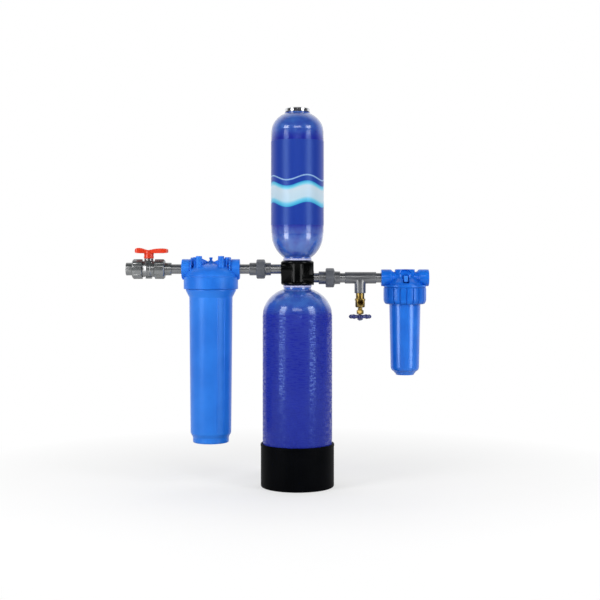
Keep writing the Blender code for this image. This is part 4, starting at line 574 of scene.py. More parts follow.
def label_film(name, low, high):
    """Printed vinyl film: deep blue, with a pale wavy band between cyan edges and a thin line above it. It is
    smoother than the tank, so the lamps show on it as soft, even stripes."""
    material, tree, shader = new_finish(name, IOR=1.46, Roughness=0.34, Specular_Tint=linear(BLUE_GLOSS))
    waves, wave_height, film_mm = 4.0, 0.030, 35
    place = add(tree, "ShaderNodeTexCoord").outputs["Object"]
    split = add(tree, "ShaderNodeSeparateXYZ", {"Vector": place})
    angle = add(tree, "ShaderNodeMath", {
        0: split.outputs["Y"], 1: split.outputs["X"],
    }, operation="ARCTAN2")
    share = add(tree, "ShaderNodeMapRange", {"Value": split.outputs["Z"], "From Min": low, "From Max": high})
    turn = add(tree, "ShaderNodeMath", {0: angle.outputs[0], 1: waves}, operation="MULTIPLY")
    swell = add(tree, "ShaderNodeMath", {0: turn.outputs[0]}, operation="SINE")
    lift = add(tree, "ShaderNodeMath", {0: swell.outputs[0], 1: wave_height}, operation="MULTIPLY")
    level = add(tree, "ShaderNodeMath", {0: share.outputs[0], 1: lift.outputs[0]}, operation="SUBTRACT")
    print_ramp = add(tree, "ShaderNodeValToRGB", {"Fac": level.outputs[0]}, [
        (0.0, "#1D3A9E"), (0.235, "#1D3A9E"), (0.239, "#2FA6D6"), (0.275, "#6CC8E6"), (0.305, "#BFD9E8"),
        (0.430, "#C9DCE8"), (0.455, "#74CFE8"), (0.484, "#2B9FD2"), (0.488, "#1D3A9E"), (0.545, "#1D3A9E"),
        (0.548, "#8FB4DC"), (0.560, "#8FB4DC"), (0.563, "#1D3A9E"),
    ])
    film = add(tree, "ShaderNodeTexNoise", {"Vector": place, "Scale": PER_MM / film_mm, "Detail": 1.0})
    bump = add(tree, "ShaderNodeBump", {"Height": film.outputs["Fac"], "Strength": 0.25, "Distance": 0.0008})
    fill(tree, shader, {"Base Color": print_ramp.outputs["Color"], "Normal": bump.outputs["Normal"]})
    return material


def metal(name, light, dark, roughness, grain_mm, grain_height, stretch=(1.0, 1.0, 1.0)):
    """Cast, turned or plated metal: two tones in slow clouds, and a grain stretched the way it was cut."""
    material, tree, shader = new_finish(name, Metallic=1.0)
    cloud_mm = 9
    place = add(tree, "ShaderNodeTexCoord").outputs["Object"]
    clouds = add(tree, "ShaderNodeTexNoise", {"Vector": place, "Scale": PER_MM / cloud_mm, "Detail": 3.0})
    tint = add(tree, "ShaderNodeValToRGB", {"Fac": clouds.outputs["Fac"]}, [(0.30, dark), (0.66, light)])
    pull = add(tree, "ShaderNodeMapping", {"Vector": place, "Scale": stretch})
    grain = add(tree, "ShaderNodeTexNoise", {
        "Vector": pull.outputs[0], "Scale": PER_MM / grain_mm, "Detail": 3.0,
    })
    polish = add(tree, "ShaderNodeMapRange", {
        "Value": grain.outputs["Fac"], "To Min": roughness - 0.06, "To Max": roughness + 0.10,
    })
    bump = add(tree, "ShaderNodeBump", {
        "Height": grain.outputs["Fac"], "Strength": 0.5, "Distance": grain_height,
    })
    fill(tree, shader, {
        "Base Color": tint.outputs["Color"], "Roughness": polish.outputs["Result"],
        "Normal": bump.outputs["Normal"],
    })
    return material


def granules(name, light, dark, size_mm, depth):
    """Loose granules or spun fibre, as small cells of two tones: each is painted lighter at its middle and
    darker at its edge, as painted shade in the gaps between them, which are also bumped in as deep, dull
    gaps.
    """
    material, tree, shader = new_finish(name, Roughness=0.9)
    place = add(tree, "ShaderNodeTexCoord").outputs["Object"]
    cells = add(tree, "ShaderNodeTexVoronoi", {"Vector": place, "Scale": PER_MM / size_mm})
    # Painted shade: each cell darkens towards its edge, where the gaps between granules or fibres lie
    tint = add(tree, "ShaderNodeValToRGB", {"Fac": cells.outputs["Distance"]}, [(0.0, light), (1.0, dark)])
    bump = add(tree, "ShaderNodeBump", {
        "Height": cells.outputs["Distance"], "Strength": 0.8, "Distance": depth,
    }, invert=True)
    fill(tree, shader, {"Base Color": tint.outputs["Color"], "Normal": bump.outputs["Normal"]})
    return material


def clear_selection():
    bpy.ops.object.select_all(action="DESELECT")


def select_only(piece):
    clear_selection()
    piece.select_set(True)
    bpy.context.view_layer.objects.active = piece


def turned(name, rings, place=CENTRE, axis=UP, sides=SIDES, solid=True):
    """Turn a piece: a circle at the first ring is extruded and scaled from ring to ring. Rings are (radius,
    height along the axis). A solid is capped at both ends, and a tube's last ring is its first one again."""
    clear_selection()
    radius, height = rings[0]
    bpy.ops.mesh.primitive_circle_add(
        vertices=sides, radius=radius, location=(0, 0, height), fill_type="NGON" if solid else "NOTHING"
    )
    piece = bpy.context.object
    piece.name = name
    bpy.ops.object.mode_set(mode="EDIT")
    bpy.ops.mesh.select_all(action="SELECT")
    for next_radius, next_height in rings[1:]:
        bpy.ops.mesh.extrude_region_move(TRANSFORM_OT_translate={"value": (0, 0, next_height - height)})
        growth = next_radius / radius
        bpy.ops.transform.resize(value=(growth, growth, 1), center_override=(0, 0, 0))
        radius, height = next_radius, next_height
    bpy.ops.mesh.select_all(action="SELECT")
    bpy.ops.mesh.remove_doubles(threshold=HAIR / 20)
    bpy.ops.mesh.normals_make_consistent(inside=False)
    bpy.ops.object.mode_set(mode="OBJECT")
    return put(piece, place, axis)


def rod(name, radius, start, end, place=CENTRE, axis=UP, sides=SIDES):
    """A plain round rod along an axis, between two levels from its place."""
    return turned(name, [(radius, start), (radius, end)], place, axis, sides)


def put(piece, place, axis=UP):
    """Turn a piece's own Z to an axis, move it to its place, and settle both into its mesh."""
    select_only(piece)
    bpy.ops.object.transform_apply(location=True, rotation=True, scale=True)
    piece.rotation_euler = axis.to_track_quat("Z", "Y").to_euler()
    piece.location = place
    bpy.ops.object.transform_apply(location=True, rotation=True, scale=True)
    return piece


def put_turned(piece, place):
    """Move a piece that has been turned to its place, and settle both into its mesh."""
    select_only(piece)
    piece.location = place
    bpy.ops.object.transform_apply(location=True, rotation=True, scale=True)
    return piece


def box_piece(name, low, high, place=CENTRE, spin=0.0):
    """A box between two corners, turned about its place's Z by an angle."""
    clear_selection()
    low, high = Vector(low), Vector(high)
    bpy.ops.mesh.primitive_cube_add(size=1, location=(low + high) / 2, scale=high - low)
    piece = bpy.context.object
    piece.name = name
    bpy.ops.object.transform_apply(location=True, rotation=True, scale=True)
    piece.rotation_euler = (0, 0, spin)
    return put_turned(piece, place)


def apply_modifier(piece, kind, **settings):
    select_only(piece)
    bpy.ops.object.modifier_add(type=kind)
    modifier = piece.modifiers[-1]
    for name, value in settings.items():
        setattr(modifier, name, value)
    bpy.ops.object.modifier_apply(modifier=modifier.name)
    return piece


def round_edges(piece, width, segments=3):
    return apply_modifier(
        piece, "BEVEL", width=width, segments=segments, limit_method="ANGLE", angle_limit=SHARP_ANGLE
    )


def widen(piece, chosen, growth):
    """Scale the vertices that a test chooses away from a piece's own Z, or towards it."""
    select_only(piece)
    bpy.ops.object.mode_set(mode="EDIT")
    bpy.ops.mesh.select_mode(type="VERT")
    bpy.ops.mesh.select_all(action="DESELECT")
    bpy.ops.object.mode_set(mode="OBJECT")
    for vertex in piece.data.vertices:
        vertex.select = chosen(vertex.co)
    bpy.ops.object.mode_set(mode="EDIT")
    bpy.ops.transform.resize(value=(growth, growth, 1), center_override=(0, 0, 0))
    bpy.ops.object.mode_set(mode="OBJECT")
    return piece


def combine(piece, operation, tools):
    for shape in tools:
        apply_modifier(piece, "BOOLEAN", operation=operation, solver="EXACT", object=shape)
        bpy.data.objects.remove(shape, do_unlink=True)
    return piece


def fuse(piece, *tools):
    return combine(piece, "UNION", tools)


def cut(piece, *tools):
    return combine(piece, "DIFFERENCE", tools)


def trim(piece, *tools):
    return combine(piece, "INTERSECT", tools)


def show(piece, node, finish):
    """Let a finished piece stand for its CAD node: it takes the node's body, slot and finish."""
    piece.name = "shown_" + node
    piece.data.materials.clear()
    piece.data.materials.append(finish)
    select_only(piece)
    bpy.ops.object.mode_set(mode="EDIT")
    bpy.ops.mesh.select_all(action="SELECT")
    bpy.ops.mesh.remove_doubles(threshold=HAIR / 20)
    bpy.ops.object.mode_set(mode="OBJECT")
    bpy.ops.object.shade_smooth_by_angle(angle=CREASE_ANGLE)
    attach(piece, BODY_OF[node])
    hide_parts(node)
    return piece


def arc(centre_r, centre_z, radius, start, end, steps):
    """(radius, height) points on an arc, from a start to an end angle in degrees, 0 pointing outwards."""
    angles = [math.radians(start + (end - start) * i / steps) for i in range(steps + 1)]
    return [(centre_r + radius * math.cos(a), centre_z + radius * math.sin(a)) for a in angles]


def round_top(radius, level, size, steps):
    """The arc that rounds the upper edge of an outline whose side and top are at a radius and a level."""
    return arc(radius - size, level - size, size, 0, 90, steps)


def round_foot(radius, level, size, steps):
    """The arc that rounds the lower edge of an outline whose side and sole are at a radius and a level."""
    return arc(radius - size, level + size, size, -90, 0, steps)


def dome(radius, rise, neck, level, way):
    """(radius, height) points of an elliptical dome, from its bend to its neck. Its way is 1 for up."""
    end = math.acos(neck / radius)
    turns = [end * i / DOME_STEPS for i in range(DOME_STEPS + 1)]
    return [(radius * math.cos(turn), level + way * rise * math.sin(turn)) for turn in turns]


def corner(node, side):
    """A CAD node's lowest (0) or highest (1) corner."""
    return Vector(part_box(node)[side])


def middle(node):
    return (corner(node, 0) + corner(node, 1)) / 2


def levels(node, place):
    """A CAD node's lowest and highest level, from a place."""
    return corner(node, 0).z - place.z, corner(node, 1).z - place.z


INLET_Z = middle("inlet_pipe").z
OUTLET_Z = middle("tee_inlet_pipe").z
VALVE_PLACE = Vector((middle("valve_body").x, 0, INLET_Z))
PREFILTER_PLACE = Vector((middle("prefilter_sump").x, 0, INLET_Z))
POSTFILTER_PLACE = Vector((middle("postfilter_sump").x, 0, OUTLET_Z))
DRAIN_PLACE = Vector((middle("drain_packing_nut").x, 0, corner("tee", 0).z))
CONNECTOR_PLACE = UP * (corner("lower_neck_ring", 1).z + SEAT_GAP)


def make_boot():
    """The moulded boot: a wall with a little draft between the bead at its mouth and its rounded foot."""
    reach, height = corner("tank_boot", 1).x, corner("tank_boot", 1).z
    cup_r = corner("lower_tank", 1).x + SEAT_GAP
    bend = corner("lower_tank", 0).z + LOWER_BOTTOM_RISE
    wall = reach - BOOT_DRAFT
    rings = round_foot(wall, 0, BOOT_ROUND, 4)
    rings += [(wall, height - BOOT_BEAD_H - BOOT_DRAFT), (reach, height - BOOT_BEAD_H)]
    rings += round_top(reach, height, BOOT_LIP, 4)
    rings += [(cup_r + BOOT_LIP, height)] + arc(cup_r + BOOT_LIP, height - BOOT_LIP, BOOT_LIP, 90, 180, 4)
    rings += dome(cup_r, LOWER_BOTTOM_RISE + SEAT_GAP, DOME_END_R, bend, -1)
    show(turned("boot", rings, sides=BIG_SIDES), "tank_boot", BOOT_PLASTIC)


def make_lower_tank():
    """The lower tank. Its hoops end a little past each bend, where the wall steps down to the dome."""
    low, high = corner("lower_tank", 0), corner("lower_tank", 1)
    radius = high.x
    bend = low.z + LOWER_BOTTOM_RISE
    top_bend = bend + LOWER_STRAIGHT
    dome_r = radius - HOOP_STEP
    rise = (high.z - LOWER_NECK_H - top_bend) / math.sqrt(1 - (TANK_NECK_R / dome_r) ** 2)
    inner = radius - TANK_WALL
    rings = dome(dome_r, LOWER_BOTTOM_RISE, DOME_END_R, bend, -1)[::-1]
    rings += [(radius, bend + HOOP_STEP_H), (radius, top_bend - HOOP_STEP_H)]
    rings += dome(dome_r, rise, TANK_NECK_R, top_bend, 1)
    rings += [(TANK_NECK_R, high.z), (NECK_BORE_R, high.z)]
    rings += dome(inner, rise - TANK_WALL, NECK_BORE_R, top_bend, 1)[::-1]
    rings += dome(inner, LOWER_BOTTOM_RISE - TANK_WALL, DOME_END_R, bend, -1)
    finish = wound_fibreglass("wound_fibreglass_lower", bend, top_bend, LOWER_TANK_DULL, LOWER_TANK_RELIEF)
    show(turned("tank", rings, sides=BIG_SIDES), "lower_tank", finish)


def make_upper_tank():
    """The upper tank, with a neck at both ends. Its domes' crossed winding and painted paler light
    fade in below and above its bends.
    """
    low, high = corner("upper_tank", 0), corner("upper_tank", 1)
    radius = high.x
    dome_r = radius - HOOP_STEP
    bottom_dome = UPPER_BOTTOM_RISE * math.sqrt(1 - (TANK_NECK_R / dome_r) ** 2)
    bend = low.z + UPPER_NECK_H + bottom_dome
    top_bend = bend + UPPER_STRAIGHT
    rise = (high.z - UPPER_TOP_NECK_H - top_bend) / math.sqrt(1 - (UPPER_TOP_NECK_R / dome_r) ** 2)
    inner = radius - TANK_WALL
    rings = [(NECK_BORE_R, low.z), (TANK_NECK_R, low.z)]
    rings += dome(dome_r, UPPER_BOTTOM_RISE, TANK_NECK_R, bend, -1)[::-1]
    rings += [(radius, bend + HOOP_STEP_H), (radius, top_bend - HOOP_STEP_H)]
    rings += dome(dome_r, rise, UPPER_TOP_NECK_R, top_bend, 1)
    rings += [(UPPER_TOP_NECK_R, high.z), (TOP_BORE_R, high.z)]
    rings += dome(inner, rise - TANK_WALL, TOP_BORE_R, top_bend, 1)[::-1]
    rings += dome(inner, UPPER_BOTTOM_RISE - TANK_WALL, NECK_BORE_R, bend, -1) + [(NECK_BORE_R, low.z)]
    tank = turned("tank", rings, sides=BIG_SIDES, solid=False)
    finish = wound_fibreglass(
        "wound_fibreglass_upper", bend + UPPER_FADE_IN, top_bend - UPPER_FADE_IN, UPPER_TANK_DULL,
        UPPER_TANK_RELIEF,
    )
    show(tank, "upper_tank", finish)


def make_label():
    """The printed film round the upper tank, which laps over itself down the back."""
    low, high = corner("label_sleeve", 0), corner("label_sleeve", 1)
    outer = high.x
    film = outer - LABEL_LAP
    bore = corner("upper_tank", 1).x + HAIR
    rings = [(bore, low.z), (film - LABEL_EDGE, low.z), (film, low.z + LABEL_EDGE)]
    rings += [(film, high.z - LABEL_EDGE), (film - LABEL_EDGE, high.z), (bore, high.z), (bore, low.z)]
    sleeve = turned("label", rings, sides=LABEL_SIDES, solid=False)
    half_lap = math.radians(LABEL_LAP_DEGREES) / 2
    widen(
        sleeve, lambda spot: spot.xy.length > bore + HAIR / 2 and abs(math.atan2(spot.x, spot.y)) < half_lap,
        outer / film,
    )
    show(sleeve, "label_sleeve", label_film("printed_vinyl_film", low.z, high.z))


def make_neck_rings():
    """The pale plastic collars between the tanks' necks and the connector."""
    for node in ("lower_neck_ring", "upper_neck_ring"):
        low, high = corner(node, 0), corner(node, 1)
        edge = NECK_RING_EDGE
        rings = [(NECK_BORE_R, low.z)] + round_foot(high.x, low.z, edge, 3)
        rings += round_top(high.x, high.z, edge, 3) + [(NECK_BORE_R, high.z), (NECK_BORE_R, low.z)]
        show(turned("ring", rings, solid=False), node, RING_PLASTIC)


def make_top_cap():
    """The chromed plug in the upper tank's neck, with a shallow recess in its top, and its O-ring."""
    low, high = corner("top_cap", 0), corner("top_cap", 1)
    spigot = TOP_BORE_R - THREAD_GAP
    foot = low.z + SPIGOT_LENGTH
    reach, top = high.x, high.z
    rings = [(spigot - CAP_WALL, foot), (spigot - CAP_WALL, low.z), (spigot, low.z), (spigot, foot)]
    rings += round_foot(reach, foot, CAP_FOOT_ROUND, 3)
    rings += [(reach, top - CAP_CHAMFER), (reach - CAP_CHAMFER, top), (CAP_RECESS_R + HAIR, top)]
    rings += [(CAP_RECESS_R, top - HAIR)]
    recess_r, recess_z = CAP_RECESS_R - CAP_FOOT_ROUND, top - CAP_RECESS_DEPTH + CAP_FOOT_ROUND
    rings += arc(recess_r, recess_z, CAP_FOOT_ROUND, 0, -90, 3)
    show(turned("cap", rings, sides=BIG_SIDES), "top_cap", CHROME)
    seal = "top_cap_o_ring"
    show(seal_ring("seal", CAP_SEAL_R, CAP_CORD_R, UP * middle(seal).z), seal, SEAL_RUBBER)


def seal_ring(name, radius, cord_r, place, axis=UP):
    """An O-ring, from a torus whose section is drawn in a little where it is squeezed."""
    clear_selection()
    bpy.ops.mesh.primitive_torus_add(
        major_radius=radius, minor_radius=cord_r, major_segments=SIDES, minor_segments=SEAL_SIDES
    )
    piece = bpy.context.object
    piece.name = name
    bpy.ops.object.mode_set(mode="EDIT")
    bpy.ops.mesh.select_all(action="SELECT")
    bpy.ops.transform.resize(value=(1, 1, SEAL_SQUEEZE_SHARE), center_override=(0, 0, 0))
    bpy.ops.object.mode_set(mode="OBJECT")
    return put(piece, place, axis)


def make_connector():
    """The gloss black head: two flanges on a column, with a block and a port boss on each side."""
    place = CONNECTOR_PLACE
    height = corner("upper_neck_ring", 0).z - SEAT_GAP - place.z
    reach = corner("tank_connector", 1).x
    neck_r = corner("lower_neck_ring", 1).x
    spigot = NECK_BORE_R - THREAD_GAP
    rim = FLANGE_RIM_H
    low_half = [(spigot, -SPIGOT_LENGTH), (spigot, 0), (neck_r, 0)]
    low_half += [(FLANGE_R - FLANGE_ROUND, rim - FLANGE_ROUND)]
    low_half += arc(FLANGE_R - FLANGE_ROUND, rim + FLANGE_ROUND, FLANGE_ROUND, -45, 0, 3)
    low_half += [(FLANGE_R, FLANGE_H - FLANGE_ROUND)]
    low_half += round_top(FLANGE_R, FLANGE_H, FLANGE_ROUND, 3)
    low_half += arc(COLUMN_R + COLUMN_FILLET, FLANGE_H + COLUMN_FILLET, COLUMN_FILLET, 270, 180, 4)
    rings = low_half + [(radius, height - level) for radius, level in low_half[::-1]]
    body = turned("connector", rings, place, sides=BIG_SIDES)
    core_reach = reach - PORT_LIP
    core = round_edges(box_piece(
        "core", (-core_reach, -CORE_HALF_DEPTH, rim), (core_reach, CORE_HALF_DEPTH, height - rim), place
    ), CORE_ROUND, 4)
    bosses = []
    ports = ((INLET_Z, LEFT), (OUTLET_Z, RIGHT))
    for level, axis in ports:
        rings = [(PORT_R, 0), (PORT_R, reach - PORT_ROUND)] + round_top(PORT_R, reach, PORT_ROUND, 3)
        bosses.append(turned("boss", rings, UP * level, axis))
    fuse(body, core, *bosses)
    for level, axis in ports:
        depth = reach - SOCKET_DEPTH
        rings = [(PIPE_R - PIPE_WALL, SPIGOT_BORE_R / 2), (PIPE_R - PIPE_WALL, depth), (SOCKET_BORE_R, depth)]
        rings += [(SOCKET_BORE_R, reach - PORT_ROUND), (SOCKET_BORE_R + PORT_ROUND, reach + OVERRUN)]
        cut(body, turned("bore", rings, UP * level, axis))
    web = (INLET_Z + OUTLET_Z) / 2
    for axis, end in ((UP, place.z + height + SPIGOT_LENGTH - web), (-UP, web - place.z + SPIGOT_LENGTH)):
        cut(body, rod("chamber", SPIGOT_BORE_R, 2 * OVERRUN, end + OVERRUN, UP * web, axis))
    show(body, "tank_connector", CONNECTOR_PLASTIC)


def make_pipe(node):
    """A pipe, square-cut, with the sharp edge taken off its ends."""
    low, high = corner(node, 0), corner(node, 1)
    length = high.x - low.x
    bore = PIPE_R - PIPE_WALL
    rings = [(bore, 0), (PIPE_R - PIPE_EDGE, 0), (PIPE_R, PIPE_EDGE), (PIPE_R, length - PIPE_EDGE)]
    rings += [(PIPE_R - PIPE_EDGE, length), (bore, length), (bore, 0)]
    place = Vector((low.x, 0, (low.z + high.z) / 2))
    show(turned("pipe", rings, place, RIGHT, solid=False), node, PVC_PIPE)


def socket_rings(radius, length, far_rings):
    """A glued socket from its mouth: a rounded rim, the outer side, what its far end holds, and its bore."""
    bore = PIPE_R - PIPE_WALL
    mouth = [(SOCKET_BORE_R, SOCKET_DEPTH), (SOCKET_BORE_R, SOCKET_RIM / 2)]
    mouth += [(SOCKET_BORE_R + SOCKET_RIM / 2, 0)]
    mouth += round_foot(radius, 0, SOCKET_RIM, 3)
    return [(bore, SOCKET_DEPTH)] + mouth + far_rings + [(bore, length), (bore, SOCKET_DEPTH)]


def flanged_tail(thread_r, length):
    """A socket whose far end widens to the flange that a union nut holds."""
    flange_low = length - UNION_FLANGE_H
    far = [(SOCKET_R, flange_low), (thread_r, flange_low), (thread_r, length)]
    return socket_rings(SOCKET_R, length, far)


def lugged_nut(name, radius, lug, count, rings, place, axis):
    """A round nut with flat-topped lugs: it is turned, and the vertices of each lug are drawn outwards."""
    steps = NUT_STEPS_A_LUG
    piece = turned(name, rings, sides=count * steps, solid=False)
    pitch = FULL_TURN / count

    def in_lug(spot):
        turn = (math.atan2(spot.y, spot.x) + pitch / 2) % pitch - pitch / 2
        return spot.xy.length > radius - HAIR and abs(turn) < pitch * LUG_SHARE / 2

    widen(piece, in_lug, (radius + lug) / radius)
    return put(piece, place, axis)


def make_valve():
    """The ball valve: a body with its neck, foot and middle band, two lugged nuts, and their union tails."""
    place = VALVE_PLACE
    half = (corner("valve_body", 1).x - corner("valve_body", 0).x) / 2
    shoulder = half - VALVE_THREAD_LENGTH
    band = VALVE_BAND_HALF
    rings = [(SEAT_BORE_R, -half), (VALVE_THREAD_R, -half), (VALVE_THREAD_R, -shoulder)]
    rings += round_foot(VALVE_BODY_R, -shoulder, VALVE_ROUND, 3)
    rings += [(VALVE_BODY_R, -band - VALVE_ROUND), (VALVE_BAND_R - HAIR, -band), (VALVE_BAND_R, -band + HAIR)]
    rings += [(radius, -level) for radius, level in rings[::-1]] + [rings[0]]
    body = turned("body", rings, place, RIGHT, solid=False)
    low, top = levels("valve_body", place)
    neck_rings = [(NECK_FOOT_R + NECK_FILLET, VALVE_NECK_LOW), (NECK_FOOT_R, VALVE_BODY_R - NECK_FILLET)]
    neck_rings += [(VALVE_NECK_R, VALVE_BODY_R + NECK_FILLET), (VALVE_NECK_R, top - NECK_EDGE)]
    neck_rings += [(VALVE_NECK_R - NECK_EDGE, top)]
    neck = turned("neck", neck_rings, place)
    foot = round_edges(box_piece(
        "foot", (-VALVE_FOOT_HALF, -VALVE_FOOT_HALF_DEPTH, low),
        (VALVE_FOOT_HALF, VALVE_FOOT_HALF_DEPTH, -VALVE_NECK_LOW), place,
    ), NECK_EDGE, 2)
    rib_low, rib_high = VALVE_RIB_X - VALVE_RIB_WIDTH / 2, VALVE_RIB_X + VALVE_RIB_WIDTH / 2
    rib_rings = [(VALVE_RIB_R - HAIR, rib_low), (VALVE_RIB_R, rib_low + HAIR)]
    rib_rings += [(VALVE_RIB_R, rib_high - HAIR), (VALVE_RIB_R - HAIR, rib_high)]
    fuse(body, neck, foot, turned("rib", rib_rings, place, RIGHT))
    cut(
        body,
        rod("bore", SEAT_BORE_R, -half - OVERRUN, half + OVERRUN, place, RIGHT),
        rod("stem_way", VALVE_STEM_R + SHAFT_GAP, 0, top + OVERRUN, place),
    )
    show(body, "valve_body", PVC_VALVE)
    for side, axis in (("inlet", LEFT), ("outlet", RIGHT)):
        end, nut = "valve_" + side + "_end", "valve_" + side + "_nut"
        start = half + SEAT_GAP
        reach = abs(corner(end, 0 if axis == LEFT else 1).x - place.x)
        length = reach - start
        tail_rings = flanged_tail(VALVE_THREAD_R, length)
        show(turned("tail", tail_rings, place + axis * reach, -axis, solid=False), end, PVC_VALVE)
        nut_low = shoulder + SEAT_GAP
        nut_high = abs(corner(nut, 0 if axis == LEFT else 1).x - place.x)
        lip = start + UNION_FLANGE_H + SEAT_GAP
        outer, bevel = VALVE_NUT_R, VALVE_NUT_BEVEL
        rings = [(VALVE_THREAD_R + NUT_GAP, nut_low), (outer - NUT_EDGE, nut_low)]
        rings += [(outer, nut_low + NUT_EDGE), (outer, nut_high - bevel)]
        rings += arc(outer - bevel, nut_high - bevel, bevel, 20, 90, 4)
        rings += [(SOCKET_R + NUT_GAP, nut_high), (SOCKET_R + NUT_GAP, lip)]
        rings += [(VALVE_THREAD_R + NUT_GAP, lip), rings[0]]
        show(lugged_nut("nut", outer, VALVE_NUT_LUG, VALVE_NUT_LUGS, rings, place, axis), nut, PVC_VALVE)
    stem_top = corner("valve_stem", 1).z - place.z
    stem_rings = [(VALVE_STEM_R, BALL_R + SEAT_GAP), (VALVE_STEM_R, top - HAIR), (VALVE_STEM_R - HAIR, top)]
    stem = turned("stem", stem_rings, place, sides=SMALL_SIDES)
    drive = box_piece("drive", (-STEM_DRIVE_HALF, -STEM_DRIVE_HALF, top - OVERRUN),
                      (STEM_DRIVE_HALF, STEM_DRIVE_HALF, stem_top), place)
    tang = box_piece("tang", (-TANG_HALF_WIDTH, -TANG_HALF_DEPTH, BALL_R - TANG_H),
                     (TANG_HALF_WIDTH, TANG_HALF_DEPTH, BALL_R + OVERRUN), place)
    show(fuse(stem, drive, tang), "valve_stem", PVC_VALVE)
    make_handle(place, top + SEAT_GAP)


def make_handle(place, hub_low):
    """The red handle: two tapered arms drawn out from a square, rounded, on a hub with a square socket."""
    place = place + UP * hub_low
    left, right = corner("valve_handle", 0).x - place.x, corner("valve_handle", 1).x - place.x
    top = corner("valve_handle", 1).z - place.z
    half_depth = corner("valve_handle", 1).y
    sections = [
        (along * (right if along > 0 else -left), deep * half_depth, bottom * top, crest * top)
        for along, deep, bottom, crest in HANDLE_SECTION_SHARES
    ]
    arms = drawn_out("arms", eased(sections, HANDLE_STEPS), place)
    round_edges(arms, HANDLE_ROUND, 4)
    hub_top = HANDLE_HUB_TOP_SHARE * top
    rings = [(HANDLE_HUB_R - HANDLE_EDGE, 0), (HANDLE_HUB_R, HANDLE_EDGE)]
    rings += [(HANDLE_HUB_R - HANDLE_EDGE, HANDLE_WAIST_SHARE * top)]
    rings += arc(HANDLE_HUB_R + HANDLE_EDGE, HANDLE_ARC_SHARE * top, 2 * HANDLE_EDGE, 230, 180, 3)
    rings += [(HANDLE_HUB_R - HANDLE_EDGE, hub_top - HANDLE_EDGE), (HANDLE_HUB_R - 2 * HANDLE_EDGE, hub_top)]
    hub = turned("hub", rings, place)
    fuse(hub, arms)
    half = STEM_DRIVE_HALF + SEAT_GAP
    depth = corner("valve_stem", 1).z - place.z + SEAT_GAP
    cut(hub, box_piece("socket", (-half, -half, -OVERRUN), (half, half, depth), place))
    show(hub, "valve_handle", HANDLE_PLASTIC)


def eased(sections, steps):
    """The sections with others between them, on a smooth curve through them all."""
    padded = [sections[0], *sections, sections[-1]]
    made = []
    for window in zip(padded, padded[1:], padded[2:], padded[3:]):
        for step in range(steps):
            t = step / steps
            made.append([
                b + (
                    (c - a) * t + (2 * a - 5 * b + 4 * c - d) * t ** 2 + (3 * b - a - 3 * c + d) * t ** 3
                ) / 2
                for a, b, c, d in zip(*window)
            ])
    return made + [sections[-1]]


def drawn_out(name, sections, place):
    """Draw a square out along X. Each section is (x, half its depth, its bottom, its top)."""
    clear_selection()
    bpy.ops.mesh.primitive_plane_add(size=1, rotation=(0, QUARTER_TURN, 0))
    piece = bpy.context.object
    piece.name = name
    bpy.ops.object.transform_apply(location=True, rotation=True, scale=True)
    bpy.ops.object.mode_set(mode="EDIT")
    bpy.ops.mesh.select_all(action="SELECT")
    x, half_depth, bottom, top = sections[0]
    bpy.ops.transform.resize(value=(1, 2 * half_depth, top - bottom), center_override=(0, 0, 0))
    bpy.ops.transform.translate(value=(x, 0, (bottom + top) / 2))
    for next_x, next_half, next_bottom, next_top in sections[1:]:
        rise = (next_bottom + next_top - bottom - top) / 2
        bpy.ops.mesh.extrude_region_move(TRANSFORM_OT_translate={"value": (next_x - x, 0, rise)})
        bpy.ops.transform.resize(
            value=(1, next_half / half_depth, (next_top - next_bottom) / (top - bottom)),
            center_override=(next_x, 0, (next_bottom + next_top) / 2),
        )
        x, half_depth, bottom, top = next_x, next_half, next_bottom, next_top
    bpy.ops.mesh.select_all(action="SELECT")
    bpy.ops.mesh.normals_make_consistent(inside=False)
    bpy.ops.object.mode_set(mode="OBJECT")
    return put(piece, place)


def make_union(prefix, level):
    """A union along +X: a flanged socket, an eight-sided nut and a threaded end."""
    socket, nut, thread_end = (prefix + "_union_" + ending for ending in ("socket", "nut", "thread_end"))
    start, end = corner(socket, 0).x, corner(thread_end, 1).x
    place = Vector((start, 0, level))
    rings = flanged_tail(UNION_THREAD_R, corner(socket, 1).x - start)
    show(turned("socket", rings, place, RIGHT, solid=False), socket, PVC_FITTING)
    length = end - corner(thread_end, 0).x
    bare = end - corner(nut, 1).x
    far = arc(SOCKET_R, bare - OVERRUN, OVERRUN / 2, -90, 0, 2)
    far += [(UNION_THREAD_R, bare), (UNION_THREAD_R, length)]
    rings = socket_rings(SOCKET_R, length, far)
    show(turned("tail", rings, Vector((end, 0, level)), LEFT, solid=False), thread_end, PVC_FITTING)
    nut_low, nut_high = corner(nut, 0).x - start, corner(nut, 1).x - start
    reach = corner(nut, 1).y
    outer = [(reach - UNION_CHAMFER, nut_high), (reach, nut_high - UNION_CHAMFER)]
    outer += [(reach, nut_low + UNION_CHAMFER), (reach - UNION_CHAMFER, nut_low)]
    body = turned("nut", outer[::-1], place, RIGHT, UNION_NUT_SIDES)
    round_edges(body, UNION_ROUND, 3)
    lip = nut_low + UNION_NUT_LIP
    rings = [(SOCKET_R + NUT_GAP, nut_low - OVERRUN), (SOCKET_R + NUT_GAP, lip)]
    rings += [(UNION_THREAD_R + NUT_GAP, lip), (UNION_THREAD_R + NUT_GAP, nut_high + OVERRUN)]
    show(cut(body, turned("bore", rings, place, RIGHT)), nut, PVC_UNION)
    seal = prefix + "_union_o_ring"
    centre = Vector((middle(seal).x, 0, level))
    show(seal_ring("seal", UNION_SEAL_R, UNION_CORD_R, centre, RIGHT), seal, SEAL_RUBBER)


